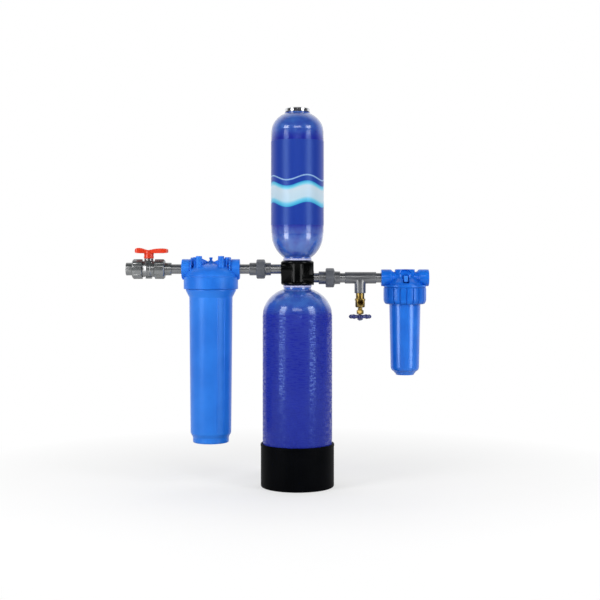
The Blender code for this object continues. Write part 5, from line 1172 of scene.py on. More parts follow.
def make_tee():
    """The tee: a run along +X with a socket at each end, and a branch down to the drain valve's thread."""
    low, high = corner("tee", 0), corner("tee", 1)
    length = high.x - low.x
    run = Vector((low.x, 0, OUTLET_Z))
    radius = high.z - OUTLET_Z
    rings = round_foot(radius, 0, SOCKET_RIM, 3)
    rings += [(radius, length - SOCKET_RIM)] + round_top(radius, length, SOCKET_RIM, 3)
    tee = turned("tee", rings, run, RIGHT)
    drop = OUTLET_Z - low.z
    rings = round_foot(TEE_BRANCH_R, 0, SOCKET_RIM, 3)
    rings += [(TEE_BRANCH_R, drop - radius - TEE_FILLET), (TEE_BRANCH_R + TEE_FILLET, drop - radius / 2)]
    rings += [(TEE_BRANCH_R, drop)]
    fuse(tee, turned("branch", rings, DRAIN_PLACE))
    bore = PIPE_R - PIPE_WALL
    steps = [(SOCKET_BORE_R, -OVERRUN), (SOCKET_BORE_R, SOCKET_DEPTH), (bore, SOCKET_DEPTH)]
    steps += [(bore, length - SOCKET_DEPTH), (SOCKET_BORE_R, length - SOCKET_DEPTH)]
    steps += [(SOCKET_BORE_R, length + OVERRUN)]
    branch_steps = [(DRAIN_THREAD_R + SEAT_GAP, -OVERRUN), (DRAIN_THREAD_R + SEAT_GAP, TEE_THREAD_DEPTH)]
    branch_steps += [(DRAIN_SEAT_R, TEE_THREAD_DEPTH), (DRAIN_SEAT_R, drop)]
    cut(tee, turned("run_way", steps, run, RIGHT), turned("branch_way", branch_steps, DRAIN_PLACE))
    show(tee, "tee", PVC_FITTING)


def make_drain_valve():
    """The brass drain valve. Levels are down from the tee's branch face."""
    place = DRAIN_PLACE
    body_low = corner("drain_valve_body", 0).z - place.z
    neck_low, waist_top = -DRAIN_NECK_H, -DRAIN_NECK_H - DRAIN_BODY_H
    rings = [(DRAIN_SEAT_R, body_low), (DRAIN_BONNET_R, body_low), (DRAIN_BONNET_R, waist_top - DRAIN_FILLET)]
    rings += arc(DRAIN_BONNET_R + DRAIN_FILLET, waist_top, DRAIN_FILLET, 180, 110, 3)
    rings += [(DRAIN_BODY_R * DRAIN_SHOULDER_SHARE, waist_top + DRAIN_FILLET)]
    rings += [(DRAIN_BODY_R, waist_top + 3 * DRAIN_FILLET)]
    rings += [(DRAIN_BODY_R, neck_low - DRAIN_HEX_H - DRAIN_FILLET), (DRAIN_NECK_R, neck_low - DRAIN_HEX_H)]
    rings += [(DRAIN_NECK_R, -SEAT_GAP - HAIR), (DRAIN_NECK_R - HAIR, -SEAT_GAP), (DRAIN_THREAD_R, -SEAT_GAP)]
    rings += [(DRAIN_THREAD_R, TEE_THREAD_DEPTH - HAIR), (DRAIN_SEAT_R, TEE_THREAD_DEPTH - HAIR), rings[0]]
    body = turned("drain", rings, place, solid=False)
    flats = rod("flats", DRAIN_HEX_R, neck_low - DRAIN_HEX_H, neck_low, place, sides=DRAIN_HEX_SIDES)
    round_edges(flats, DRAIN_EDGE, 2)
    spout_place = place - UP * DRAIN_SPOUT_DROP
    reach = -corner("drain_valve_body", 0).y
    root = DRAIN_SPOUT_R - DRAIN_EDGE
    spout_rings = [(root, 0), (root, reach - DRAIN_THREADS * THREAD_PITCH)]
    for i in range(DRAIN_THREADS):
        level = reach - (DRAIN_THREADS - i) * THREAD_PITCH
        spout_rings += [(root, level), (DRAIN_SPOUT_R, level + THREAD_PITCH / 2)]
    spout_rings += [(root, reach - HAIR), (DRAIN_SPOUT_R - 2 * DRAIN_EDGE, reach)]
    spout = turned("spout", spout_rings, spout_place, FRONT)
    fuse(body, flats, spout)
    chamber_low = waist_top + SEAT_GAP
    chamber = [(DRAIN_STEM_R + SHAFT_GAP, body_low - OVERRUN), (DRAIN_STEM_R + SHAFT_GAP, chamber_low)]
    chamber += [(DRAIN_CHAMBER_R, chamber_low), (DRAIN_CHAMBER_R, chamber_low + DRAIN_CHAMBER_H)]
    chamber += [(DRAIN_SEAT_R, chamber_low + DRAIN_CHAMBER_H), (DRAIN_SEAT_R, TEE_THREAD_DEPTH + OVERRUN)]
    cut(
        body, turned("chamber", chamber, place),
        rod("outlet", DRAIN_SPOUT_BORE_R, 0, reach + OVERRUN, spout_place, FRONT),
    )
    show(body, "drain_valve_body", BRASS)
    low, high = levels("drain_packing_nut", place)
    nut = rod("nut", PACKING_NUT_R, low, high, place, sides=PACKING_NUT_SIDES)
    crown = [(PACKING_NUT_R * PACKING_MOUTH_SHARE, low)]
    crown += [(PACKING_NUT_R * PACKING_CROWN_SHARE, low + DRAIN_FILLET)]
    crown += [(PACKING_NUT_R, low + 2 * DRAIN_FILLET)]
    crown += [(radius, high + low - level) for radius, level in crown[::-1]]
    trim(nut, turned("crown", crown, place))
    round_edges(nut, DRAIN_EDGE / 2, 2)
    bore = DRAIN_STEM_R + SHAFT_GAP
    cut(nut, rod("bore", bore, low - OVERRUN, high + OVERRUN, place))
    show(nut, "drain_packing_nut", BRASS)
    stem_low, stem_high = levels("drain_stem", place)
    disc_low, disc_edge_r = stem_high - DRAIN_DISC_H, DRAIN_DISC_R - DRAIN_EDGE
    rings = [(DRAIN_STEM_R, stem_low), (DRAIN_STEM_R, disc_low), (disc_edge_r, disc_low)]
    rings += [(DRAIN_DISC_R, disc_low + DRAIN_EDGE), (DRAIN_DISC_R, stem_high - DRAIN_EDGE)]
    rings += [(disc_edge_r, stem_high)]
    show(turned("stem", rings, place), "drain_stem", BRASS)
    low, high = levels("handwheel_screw", place)
    face = low + SCREW_HEAD_H
    rings = [(SCREW_HEAD_R - HAIR * 3, low), (SCREW_HEAD_R, low + HAIR * 3), (SCREW_HEAD_R, face)]
    rings += [(SCREW_SHANK_R, face), (SCREW_SHANK_R, high)]
    screw = turned("screw", rings, place)
    for spin in (0, QUARTER_TURN):
        cut(screw, box_piece("slot", (-SCREW_SLOT_HALF, -SCREW_SLOT_HALF / 4, low - OVERRUN),
                             (SCREW_SLOT_HALF, SCREW_SLOT_HALF / 4, low + SCREW_HEAD_H / 2), place, spin))
    show(screw, "handwheel_screw", ZINC_STEEL)
    make_handwheel(place)


def make_handwheel(place):
    """The enamelled handwheel: a rim with eight round lobes, a thin web with windows, and a hub."""
    hub_low, hub_high = levels("drain_handwheel", place)
    level = (hub_low + hub_high) / 2 + WHEEL_ABOVE_HUB
    reach = corner("drain_handwheel", 1).x - place.x
    hub_rings = [(WHEEL_HUB_R - DRAIN_EDGE, hub_low), (WHEEL_HUB_R, hub_low + DRAIN_EDGE)]
    hub_rings += [(WHEEL_HUB_R, level), (WHEEL_HUB_R * HUB_SHOULDER_SHARE, hub_high - 2 * DRAIN_EDGE)]
    hub_rings += [(WHEEL_HUB_R * HUB_FACE_SHARE, hub_high)]
    wheel = turned("wheel", hub_rings, place)
    web_r = reach - LOBE_R
    web = rod("web", web_r, level - WEB_HALF, level + WEB_HALF, place)
    for i in range(WHEEL_WINDOWS):
        turn = FULL_TURN * i / WHEEL_WINDOWS
        spot = place + Vector((WINDOW_RING_R * math.cos(turn), WINDOW_RING_R * math.sin(turn), 0))
        cut(web, rod("window", WINDOW_R, level - 2 * WEB_HALF, level + 2 * WEB_HALF, spot, sides=SMALL_SIDES))
    fuse(wheel, web, seal_ring("rim", web_r - RIM_CORD_R / 4, RIM_CORD_R, place + UP * level))
    for i in range(WHEEL_LOBES):
        turn = FULL_TURN * i / WHEEL_LOBES
        clear_selection()
        spot = place + Vector((web_r * math.cos(turn), web_r * math.sin(turn), level))
        bpy.ops.mesh.primitive_uv_sphere_add(
            segments=SMALL_SIDES // 2, ring_count=SMALL_SIDES // 3, radius=LOBE_R, location=spot
        )
        lobe = bpy.context.object
        bpy.ops.object.transform_apply(location=True, rotation=True, scale=True)
        bpy.ops.object.mode_set(mode="EDIT")
        bpy.ops.mesh.select_all(action="SELECT")
        bpy.ops.transform.resize(value=(1, 1, LOBE_FLAT_SHARE), center_override=spot)
        bpy.ops.object.mode_set(mode="OBJECT")
        fuse(wheel, lobe)
    bore = DRAIN_STEM_R + SHAFT_GAP
    cut(wheel, rod("bore", bore, hub_low - OVERRUN, hub_high + OVERRUN, place))
    show(wheel, "drain_handwheel", WHEEL_ENAMEL)


def make_lid():
    """The pre-filter lid: a round crown on a threaded collar, a port on a web at each side, four bracket
    posts and the ribs between them, and the relief button's seat. Levels are from the axis of its ports."""
    place = PREFILTER_PLACE
    bottom, post_top = levels("prefilter_lid", place)
    reach = corner("prefilter_lid", 1).x - place.x
    collar = LID_COLLAR_R
    fall = LID_CREST_Z - LID_COLLAR_TOP_Z
    rings = [(collar - LID_EDGE, bottom), (collar, bottom + LID_EDGE), (collar, LID_COLLAR_TOP_Z - LID_EDGE)]
    rings += [(collar - LID_EDGE, LID_COLLAR_TOP_Z), (collar - 2 * LID_EDGE, LID_COLLAR_TOP_Z + HAIR)]
    for i in range(1, CROWN_STEPS + 1):
        turn = QUARTER_TURN * i / CROWN_STEPS
        radius = (collar - 2 * LID_EDGE) * max(math.cos(turn), CROWN_TIP_SHARE) ** CROWN_ROUND_POWER
        rings.append((radius, LID_COLLAR_TOP_Z + fall * math.sin(turn) ** CROWN_RISE_POWER))
    lid = turned("lid", rings, place, sides=BIG_SIDES)
    tools = []
    for sign, axis in ((-1, LEFT), (1, RIGHT)):
        plate = [(PLATE_R - PLATE_ROUND, PLATE_INNER_X), (PLATE_R, PLATE_INNER_X + PLATE_ROUND)]
        plate += round_top(PLATE_R, PLATE_OUTER_X, PLATE_ROUND, 2)
        tools.append(turned("plate", plate, place, axis))
        port_start = PLATE_OUTER_X + PLATE_GROOVE
        port = [(LID_PORT_R - PLATE_GROOVE, PLATE_OUTER_X - HAIR), (LID_PORT_R - PLATE_GROOVE, port_start)]
        port += [(LID_PORT_R - HAIR, port_start + HAIR), (LID_PORT_R, reach - LID_PORT_RIM)]
        port += round_top(LID_PORT_R, reach, LID_PORT_RIM, 4)
        tools.append(turned("port", port, place, axis))
        inner, outer = sorted((sign * PLATE_INNER_X, sign * (reach - LID_PORT_RIM)))
        web_low, web_high = (inner, -LID_WEB_HALF, LID_WEB_LOW_Z), (outer, LID_WEB_HALF, 0)
        tools.append(round_edges(box_piece("web", web_low, web_high, place), LID_EDGE, 3))
    posts = [(side * FRONT_POST_X, -FRONT_POST_Y, post_top) for side in (-1, 1)]
    posts += [(side * REAR_POST_X, REAR_POST_Y, post_top - REAR_POST_DROP) for side in (-1, 1)]
    for x, y, top in posts:
        foot = place + Vector((x, y, 0))
        post = [(POST_R + POST_DRAFT, RIB_BOTTOM_Z), (POST_R, top - POST_ROUND)]
        post += round_top(POST_R, top, POST_ROUND, 3)
        tools.append(turned("post", post, foot))
        half = RIB_THICKNESS / 2
        rib = drawn_out("rib", [
            (0, half, RIB_BOTTOM_Z, RIB_INNER_TOP_Z), (BUTTON_NECK_R, half, RIB_BOTTOM_Z, RIB_INNER_TOP_Z),
            (math.hypot(x, y), half, RIB_BOTTOM_Z, RIB_OUTER_TOP_Z),
        ], CENTRE)
        round_edges(rib, RIB_ROUND, 2)
        rib.rotation_euler = (0, 0, math.atan2(y, x))
        tools.append(put_turned(rib, place))
    seat = [(BUTTON_SEAT_R, LID_CAVITY_TOP_Z + OVERRUN)]
    seat += blend_rings((BUTTON_SEAT_R, LID_CREST_Z - OVERRUN), (BUTTON_NECK_R, BUTTON_SEAT_TOP_Z), 5)
    tools.append(turned("seat", seat, place))
    fuse(lid, *tools)
    skirt_top = bottom + LID_THREAD_H
    cavity = [(LID_SKIRT_R, bottom - OVERRUN), (LID_SKIRT_R, skirt_top), (LID_CAVITY_R, skirt_top)]
    cavity += [(LID_CAVITY_TOP_R, LID_CAVITY_TOP_Z)]
    cut(lid, turned("cavity", cavity, place, sides=BIG_SIDES))
    nipple_r = LID_NIPPLE_R
    fuse(
        lid, rod("nipple", nipple_r, LID_NIPPLE_Z, LID_CAVITY_TOP_Z + OVERRUN, place, sides=SMALL_SIDES),
        rod("channel", LID_CHANNEL_R, 0, LID_CAVITY_R, place, RIGHT, SMALL_SIDES),
    )
    bore = PIPE_R - PIPE_WALL
    cut(lid, rod("nipple_way", nipple_r - PIPE_WALL, LID_NIPPLE_Z - OVERRUN, 0, place, sides=SMALL_SIDES))
    for axis, end in ((LEFT, LID_CAVITY_R / 2), (RIGHT, OVERRUN)):
        stop = reach - SOCKET_DEPTH
        way = [(bore, end), (bore, stop), (SOCKET_BORE_R, stop), (SOCKET_BORE_R, reach - LID_PORT_RIM / 2)]
        way += [(SOCKET_BORE_R + LID_PORT_RIM / 2, reach + HAIR)]
        cut(lid, turned("way", way, place, axis))
    for x, y, top in posts:
        hole = [(POST_HOLE_R, top - POST_HOLE_DEPTH), (POST_HOLE_R, top - HAIR * 3)]
        hole += [(POST_HOLE_R + HAIR * 3, top + HAIR)]
        cut(lid, turned("hole", hole, place + Vector((x, y, 0)), sides=SMALL_SIDES))
    way_r = BUTTON_STEM_R + SHAFT_GAP
    seat_top = BUTTON_SEAT_TOP_Z + OVERRUN
    cut(lid, rod("button_way", way_r, LID_CAVITY_TOP_Z / 2, seat_top, place, sides=SMALL_SIDES))
    show(lid, "prefilter_lid", PREFILTER_PLASTIC)
    stem_low, top = levels("relief_button", place)
    cap_low = top - BUTTON_CAP_H
    button = [(BUTTON_STEM_R, stem_low), (BUTTON_STEM_R, cap_low), (BUTTON_R - HAIR, cap_low)]
    button += [(BUTTON_R, cap_low + HAIR), (BUTTON_R, top - BUTTON_ROUND)]
    button += round_top(BUTTON_R, top, BUTTON_ROUND, 4)
    show(turned("button", button, place, sides=SMALL_SIDES), "relief_button", PREFILTER_PLASTIC)


def make_sump():
    """The tall pre-filter sump: flange, cone, a tapered barrel with four ribs, and a drawn-in foot."""
    place = PREFILTER_PLACE
    bottom, neck_top = levels("prefilter_sump", place)
    flange_top = LID_BOTTOM_Z - SEAT_GAP
    flange_low = flange_top - SUMP_FLANGE_H
    barrel_top = flange_low - SUMP_CONE_H
    base_top = bottom + SUMP_BASE_ROUND + SUMP_BASE_H
    barrel_low = base_top + SUMP_CHAMFER_H
    wall = SUMP_WALL
    rings = [(SUMP_BASE_R - SUMP_BASE_ROUND - SUMP_SOLE_IN, bottom + SUMP_SOLE_RISE)]
    rings += [(SUMP_BASE_R - SUMP_BASE_ROUND - HAIR, bottom)]
    rings += round_foot(SUMP_BASE_R, bottom, SUMP_BASE_ROUND, 4)
    rings += [(SUMP_BASE_R, base_top)] + blend_rings((SUMP_BASE_R, base_top), (SUMP_BOTTOM_R, barrel_low), 6)
    rings += [(SUMP_TOP_R, barrel_top), (SUMP_TOP_R + HAIR * 3, barrel_top + OVERRUN)]
    rings += [(SUMP_FLANGE_R - HAIR, flange_top - SUMP_LIP_H - HAIR)]
    rings += [(SUMP_FLANGE_R, flange_top - SUMP_LIP_H + HAIR)]
    rings += round_top(SUMP_FLANGE_R, flange_top, SUMP_EDGE, 3)
    rings += [(SUMP_NECK_R, flange_top), (SUMP_NECK_R, neck_top), (SUMP_NECK_R - wall, neck_top)]
    rings += [(SUMP_NECK_R - wall, flange_low), (SUMP_TOP_R - wall, barrel_top)]
    rings += [(SUMP_BOTTOM_R - wall, barrel_low), (SUMP_BASE_R - wall, base_top)]
    rings += [(SUMP_BASE_R - wall, bottom + wall)]
    sump = turned("sump", rings, sides=BIG_SIDES)
    lean = math.atan2(SUMP_TOP_R - SUMP_BOTTOM_R, barrel_top - barrel_low)
    centre = ((SUMP_TOP_R + SUMP_BOTTOM_R) / 2, 0, (barrel_top + barrel_low) / 2)
    half = (barrel_top - barrel_low) / 2 - SUMP_RIB_WIDTH
    for angle in SUMP_RIB_ANGLES:
        rib_half = SUMP_RIB_WIDTH / 2
        rib = box_piece("rib", (-wall / 2, -rib_half, -half), (SUMP_RIB_STAND, rib_half, half))
        round_edges(rib, SUMP_RIB_ROUND, 2)
        select_only(rib)
        bpy.ops.transform.rotate(value=-lean, orient_axis="Y", center_override=(0, 0, 0))
        bpy.ops.transform.translate(value=centre)
        bpy.ops.transform.rotate(
            value=QUARTER_TURN - math.radians(angle), orient_axis="Z", center_override=(0, 0, 0)
        )
        bpy.ops.object.transform_apply(location=True, rotation=True, scale=True)
        fuse(sump, rib)
    show(put(sump, place), "prefilter_sump", PREFILTER_SUMP_PLASTIC)
    show_sump_seal("prefilter_o_ring", place)


def show_sump_seal(seal, place):
    """The O-ring round a sump's neck, as wide and as thick as its CAD node."""
    cord = (corner(seal, 1).z - corner(seal, 0).z) / 2
    centre = Vector((place.x, 0, middle(seal).z))
    show(seal_ring("seal", corner(seal, 1).y - cord, cord, centre), seal, SEAL_RUBBER)


def blend_rings(start, end, steps):
    """Rings on an S-curve between two others."""
    rings = []
    for i in range(1, steps + 1):
        share = i / steps
        bent = share * share * (3 - 2 * share)
        rings.append((start[0] + (end[0] - start[0]) * bent, start[1] + (end[1] - start[1]) * share))
    return rings


def make_postfilter_head():
    """The post-filter head: a tower that flares to a thin rim, a port on each side, and the vent's arch."""
    place = POSTFILTER_PLACE
    low, high = corner("postfilter_head", 0), corner("postfilter_head", 1)
    reach = high.x - place.x
    skirt_low = low.z - place.z
    rim_low = RIM_TOP_Z - RIM_H
    rings = [(HEAD_SKIRT_R, skirt_low), (HEAD_SKIRT_R, rim_low)]
    rings += round_foot(RIM_R, rim_low, RIM_ROUND, 3)
    rings += round_top(RIM_R, RIM_TOP_Z, RIM_ROUND, 3)
    rings += [(TOWER_FOOT_R + TOWER_FLARE, RIM_TOP_Z + HAIR)]
    rings += blend_rings((TOWER_FOOT_R + TOWER_FLARE, RIM_TOP_Z + HAIR), (TOWER_R + HAIR, TOWER_WAIST_Z), 10)
    rings += round_top(TOWER_R, TOWER_TOP_Z, RIM_ROUND, 4)
    head = turned("head", rings, place, sides=BIG_SIDES)
    neck_start = reach - HEAD_PORT_LENGTH
    for axis in (LEFT, RIGHT):
        rings = [(HEAD_PORT_NECK_R, 0), (HEAD_PORT_NECK_R, neck_start - HEAD_PORT_CONE)]
        rings += blend_rings((HEAD_PORT_NECK_R, neck_start - HEAD_PORT_CONE), (HEAD_PORT_R, neck_start), 5)
        rings += round_top(HEAD_PORT_R, reach, RIM_ROUND, 4)
        fuse(head, turned("port", rings, place, axis))
    vent_face = TOWER_R - ARCH_DEPTH
    lean = Vector(ARCH_LEAN)
    arch = rod("arch", ARCH_R, 0, TOWER_FOOT_R, place + Vector((0, ARCH_Y, ARCH_Z)), lean)
    cut(arch, box_piece("lower_half", (-TOWER_R, -2 * TOWER_R, -TOWER_R), (TOWER_R, 0, ARCH_LOW_Z), place))
    pocket_low = (-VENT_POCKET_HALF, -2 * TOWER_R, VENT_POCKET_LOW_Z)
    pocket_high = (VENT_POCKET_HALF, -vent_face, ARCH_LOW_Z + VENT_POCKET_ROUND)
    pocket = box_piece("pocket", pocket_low, pocket_high, place)
    cut(head, arch, round_edges(pocket, VENT_POCKET_ROUND, 4))
    ceiling = rim_low - HEAD_CEILING_H
    skirt_bore = HEAD_SKIRT_R - HEAD_SKIRT_WALL
    cut(head, rod("cavity", skirt_bore, skirt_low - OVERRUN, ceiling, place, sides=BIG_SIDES))
    nipple_low = ceiling - HEAD_NIPPLE_H
    fuse(head, rod("nipple", HEAD_NIPPLE_R, nipple_low, ceiling + OVERRUN, place, sides=SMALL_SIDES))
    stop = reach - SOCKET_DEPTH
    for axis, inner in ((LEFT, HEAD_DOWNWAY_X), (RIGHT, 0)):
        way = [(HEAD_WATERWAY_R, inner - HEAD_DOWNWAY_R), (HEAD_WATERWAY_R, stop), (SOCKET_BORE_R, stop)]
        way += [(SOCKET_BORE_R, reach - RIM_ROUND / 2), (SOCKET_BORE_R + RIM_ROUND / 2, reach + HAIR)]
        cut(head, turned("way", way, place, axis))
    core_r = HEAD_NIPPLE_R - HEAD_NIPPLE_WALL
    outer_place, vent_place = place + LEFT * HEAD_DOWNWAY_X, place + UP * VENT_Z
    vent_r, vent_end = VENT_SHANK_R + SHAFT_GAP, vent_face - VENT_SHANK - SEAT_GAP
    cut(
        head, rod("outer_way", HEAD_DOWNWAY_R, ceiling - OVERRUN, 0, outer_place, sides=SMALL_SIDES),
        rod("core_way", core_r, nipple_low - OVERRUN, 0, place, sides=SMALL_SIDES),
        rod("vent_way", vent_r, vent_end, vent_face + OVERRUN, vent_place, FRONT, SMALL_SIDES),
    )
    show(head, "postfilter_head", POSTFILTER_PLASTIC)
    make_vent(vent_place, vent_face)


def make_vent(place, vent_face):
    """The vent screw: a shank and a round collar with a rounded tab to turn it by."""
    collar = vent_face + SEAT_GAP
    rings = [(VENT_SHANK_R, vent_face - VENT_SHANK), (VENT_SHANK_R, collar), (VENT_COLLAR_R, collar)]
    rings += [(VENT_COLLAR_R, collar + VENT_COLLAR_H - HAIR * 2)]
    rings += [(VENT_COLLAR_R - HAIR * 2, collar + VENT_COLLAR_H)]
    vent = turned("vent", rings, place, FRONT, SMALL_SIDES)
    face = -corner("vent_screw", 0).y
    half_w, half_h = VENT_TAB_WIDTH / 2, (corner("vent_screw", 1).z - corner("vent_screw", 0).z) / 2
    tab = box_piece("tab", (-half_w, -face, -half_h), (half_w, -collar, half_h), place)
    fuse(vent, round_edges(tab, VENT_TAB_ROUND, 4))
    show(vent, "vent_screw", VENT_PLASTIC_PAINTED_HIGHLIGHT)


def make_ring_nut():
    """The post-filter's ring nut: twenty flutes run down it into a lower end that is drawn in."""
    place = POSTFILTER_PLACE
    low, high = levels("postfilter_ring", place)
    radius = corner("postfilter_ring", 1).x - place.x
    lip = low + RING_LIP_H
    rings = [(RING_BORE_R, high), (radius - RING_SHOULDER - HAIR, high)]
    rings += arc(radius - RING_SHOULDER, high - RING_SHOULDER, RING_SHOULDER, 90, 0, 4)
    rings += [(radius, low + RING_TAPER_H)]
    for i in range(1, RING_TAPER_STEPS + 1):
        turn = QUARTER_TURN * i / RING_TAPER_STEPS
        rings.append((radius - RING_TAPER * (1 - math.cos(turn)), low + RING_TAPER_H * (1 - math.sin(turn))))
    rings += [(RING_LIP_R, low), (RING_LIP_R, lip), (RING_BORE_R, lip), (RING_BORE_R, high)]
    nut = turned("ring", rings, sides=RING_FLUTES * RING_STEPS, solid=False)
    pitch = FULL_TURN / RING_FLUTES

    def in_flute(spot):
        turn = (math.atan2(spot.y, spot.x) + pitch / 2) % pitch - pitch / 2
        bore = RING_LIP_R if spot.z < lip - HAIR else RING_BORE_R
        outside = spot.xy.length > bore + HAIR
        return outside and abs(turn) < pitch * RING_FLUTE_SHARE / 2 and spot.z < high - RING_SHOULDER + HAIR

    widen(nut, in_flute, (radius - RING_FLUTE_DEPTH) / radius)
    round_edges(nut, RING_EDGE, 2)
    show(put(nut, place), "postfilter_ring", POSTFILTER_RING_PLASTIC)


def make_postfilter_sump():
    """The post-filter sump: a collar and a flange, a tapered bowl, and a stepped foot with a dimple."""
    place = POSTFILTER_PLACE
    bottom, collar_top = levels("postfilter_sump", place)
    flange_top = collar_top - POST_SUMP_COLLAR_H
    flange_low = flange_top - POST_SUMP_FLANGE_H
    step_low = bottom + POST_SUMP_FOOT_H
    body_low = step_low + POST_SUMP_STEP_H
    wall = POST_SUMP_WALL
    rings = [(POST_SUMP_FOOT_R * POST_SUMP_DIMPLE_SHARE, bottom + HAIR * 4)]
    rings += [(POST_SUMP_FOOT_R * POST_SUMP_SOLE_SHARE, bottom)]
    rings += arc(POST_SUMP_FOOT_R - POST_ROUND, bottom + POST_ROUND, POST_ROUND, -90, -20, 3)
    rings += blend_rings((POST_SUMP_FOOT_R, bottom + POST_ROUND), (POST_SUMP_STEP_R, step_low), 5)
    for i in range(1, POST_SUMP_STEPS + 1):
        turn = QUARTER_TURN * i / POST_SUMP_STEPS
        radius = POST_SUMP_STEP_R + (POST_SUMP_LOW_R - POST_SUMP_STEP_R) * math.sin(turn)
        rings.append((radius, step_low + POST_SUMP_STEP_H * (1 - math.cos(turn))))
    rings += [(POST_SUMP_R, flange_low), (POST_SUMP_FLANGE_R, flange_low), (POST_SUMP_FLANGE_R, flange_top)]
    rings += [(POST_SUMP_COLLAR_R, flange_top), (POST_SUMP_COLLAR_R, collar_top)]
    rings += [(POST_SUMP_R - wall, collar_top), (POST_SUMP_R - wall, flange_low)]
    rings += [(POST_SUMP_LOW_R - wall, body_low + wall)]
    rings += [(POST_SUMP_STEP_R - wall, step_low + wall / 2), (POST_SUMP_FOOT_R - wall, bottom + wall)]
    show(turned("sump", rings, place, sides=BIG_SIDES), "postfilter_sump", POSTFILTER_SUMP_PLASTIC)
    show_sump_seal("postfilter_o_ring", place)


def finish_hidden_nodes():
    """The pieces inside keep their CAD shapes, and each takes the finish of what it is made of."""
    for node, finish in HIDDEN_FINISHES.items():
        shape = frame["nodes"][node]
        for slot in shape.material_slots:
            slot.material = finish
        if not shape.material_slots:
            shape.data.materials.append(finish)


# Finishes, each named for what the real piece is made of
# Matt black moulding, a little dusty, so the boot reads as a dark shape with a soft edge
BOOT_PLASTIC = moulded("black_boot_polyethylene", "#06070A", "#030406", 0.50, 0.9, 0.00016, shine=0.03)
# Lavender-tinted pale plastic that catches the light between the black and the blue
RING_PLASTIC = moulded("pale_abs_collar", "#C9CBEC", "#AEB2E0", 0.34, 0.8, 0.00006)
# Gloss black with long soft highlights
CONNECTOR_PLASTIC = moulded("gloss_black_abs", "#040506", "#020303", 0.20, 1.6, 0.00010, shine=0.16)
# Polished grey moulding, so the valve carries a bright level highlight
PVC_VALVE = moulded(
    "glossy_grey_pvc_valve", "#4A4F50", "#3C4142", 0.25, 8.0, 0.00001, shine=1.0, index=1.95
)
# Dark grey solvent-welded fittings with a satin sheen
PVC_FITTING = moulded(
    "satin_grey_pvc_fitting", "#4A4D51", "#3B3D42", 0.31, 6.0, 0.00001, shine=1.0, index=1.70
)
# The union nuts are a duller grey than the fittings
PVC_UNION = moulded("matt_grey_pvc_nut", "#5E6167", "#4C4F55", 0.36, 0.8, 0.00008)
# Extruded pipe, smoother than the fittings
PVC_PIPE = moulded("smooth_grey_pvc", "#4B4E52", "#3E4144", 0.24, 6.0, 0.00001, shine=1.0, index=1.90)
# Orange-red handle, in slow clouds of two close tints
HANDLE_PLASTIC = moulded("signal_red_abs", "#E83E1C", "#D43514", 0.27, 0.8, 0.00001, cloud_mm=40)
# Reinforced mid-blue plastic with a fine orange-peel skin
PREFILTER_PLASTIC = moulded(
    "blue_polypropylene_lid", "#2B80EC", "#1C6AD8", 0.36, 1.1, 0.00010, gloss=BLUE_GLOSS
)
# The sump is shinier, with slower clouds
PREFILTER_SUMP_PLASTIC = moulded(
    "blue_polypropylene_sump", "#2C82EE", "#2072DE", 0.33, 1.3, 0.00008, cloud_mm=90, shine=0.9,
    gloss=BLUE_GLOSS,
)
# Glossier, deeper blue
POSTFILTER_PLASTIC = moulded(
    "gloss_blue_head", "#1A74E2", "#1060CC", 0.26, 1.4, 0.00005, coat=0.15, gloss=BLUE_GLOSS
)
# The vent is painted a paler blue than the head, a painted highlight on its front-facing tab
VENT_PLASTIC_PAINTED_HIGHLIGHT = moulded("blue_vent_plastic_painted_highlight", "#4C98F2", "#3A86E6", 0.30, 1.2, 0.00004, gloss=BLUE_GLOSS)
POSTFILTER_RING_PLASTIC = moulded(
    "gloss_blue_ring_nut", "#1870DE", "#0F5CC8", 0.29, 1.2, 0.00006, coat=0.1, gloss=BLUE_GLOSS
)
POSTFILTER_SUMP_PLASTIC = moulded(
    "gloss_blue_sump", "#1872E2", "#1165D4", 0.24, 1.8, 0.00004, coat=0.3, shine=1.0, gloss=BLUE_GLOSS
)
# Enamelled cast iron: thick dark blue paint with a soft sheen
WHEEL_ENAMEL = moulded("dark_blue_enamel", "#1C2A78", "#141E5C", 0.34, 1.8, 0.00014, cloud_mm=18, coat=0.3)
# Cast and turned brass, dulled in patches
BRASS = metal("cast_brass", "#A0884E", "#6A562A", 0.32, 0.7, 0.00008)
# Bright plating that mirrors the dark and light of the studio
CHROME = metal("chrome_plate", "#E4E6EA", "#D6D8DC", 0.10, 6.0, 0.000002, stretch=(1.0, 1.0, 6.0))
ZINC_STEEL = metal("zinc_plated_steel", "#C9CCD0", "#A9ADB2", 0.28, 0.5, 0.00003)
# Black nitrile, dull
SEAL_RUBBER = moulded("nitrile_rubber", "#1A1A1C", "#111113", 0.60, 0.6, 0.00005)
# Unpigmented polypropylene of the risers, baskets, seats and ball
NATURAL_PLASTIC = moulded("natural_polypropylene", "#E9E7DD", "#D8D6CA", 0.42, 1.0, 0.00005)
# Granular carbon in the tanks, and the two cartridges' media
CARBON = granules("granular_carbon", "#2A2A2C", "#070708", 2.0, 0.0012)
SPUN_FIBRE = granules("spun_polypropylene", "#F2F1EC", "#D9D7CE", 1.2, 0.0005)

HIDDEN_FINISHES = {
    "upper_riser_tube": NATURAL_PLASTIC, "upper_distributor": NATURAL_PLASTIC,
    "lower_riser_tube": NATURAL_PLASTIC, "lower_distributor": NATURAL_PLASTIC,
    "inlet_ball_seat": NATURAL_PLASTIC, "outlet_ball_seat": NATURAL_PLASTIC, "valve_ball": NATURAL_PLASTIC,
    "upper_media": CARBON, "lower_media": CARBON, "prefilter_cartridge": SPUN_FIBRE,
    "postfilter_cartridge": SPUN_FIBRE, "drain_seat_washer": SEAL_RUBBER,
}

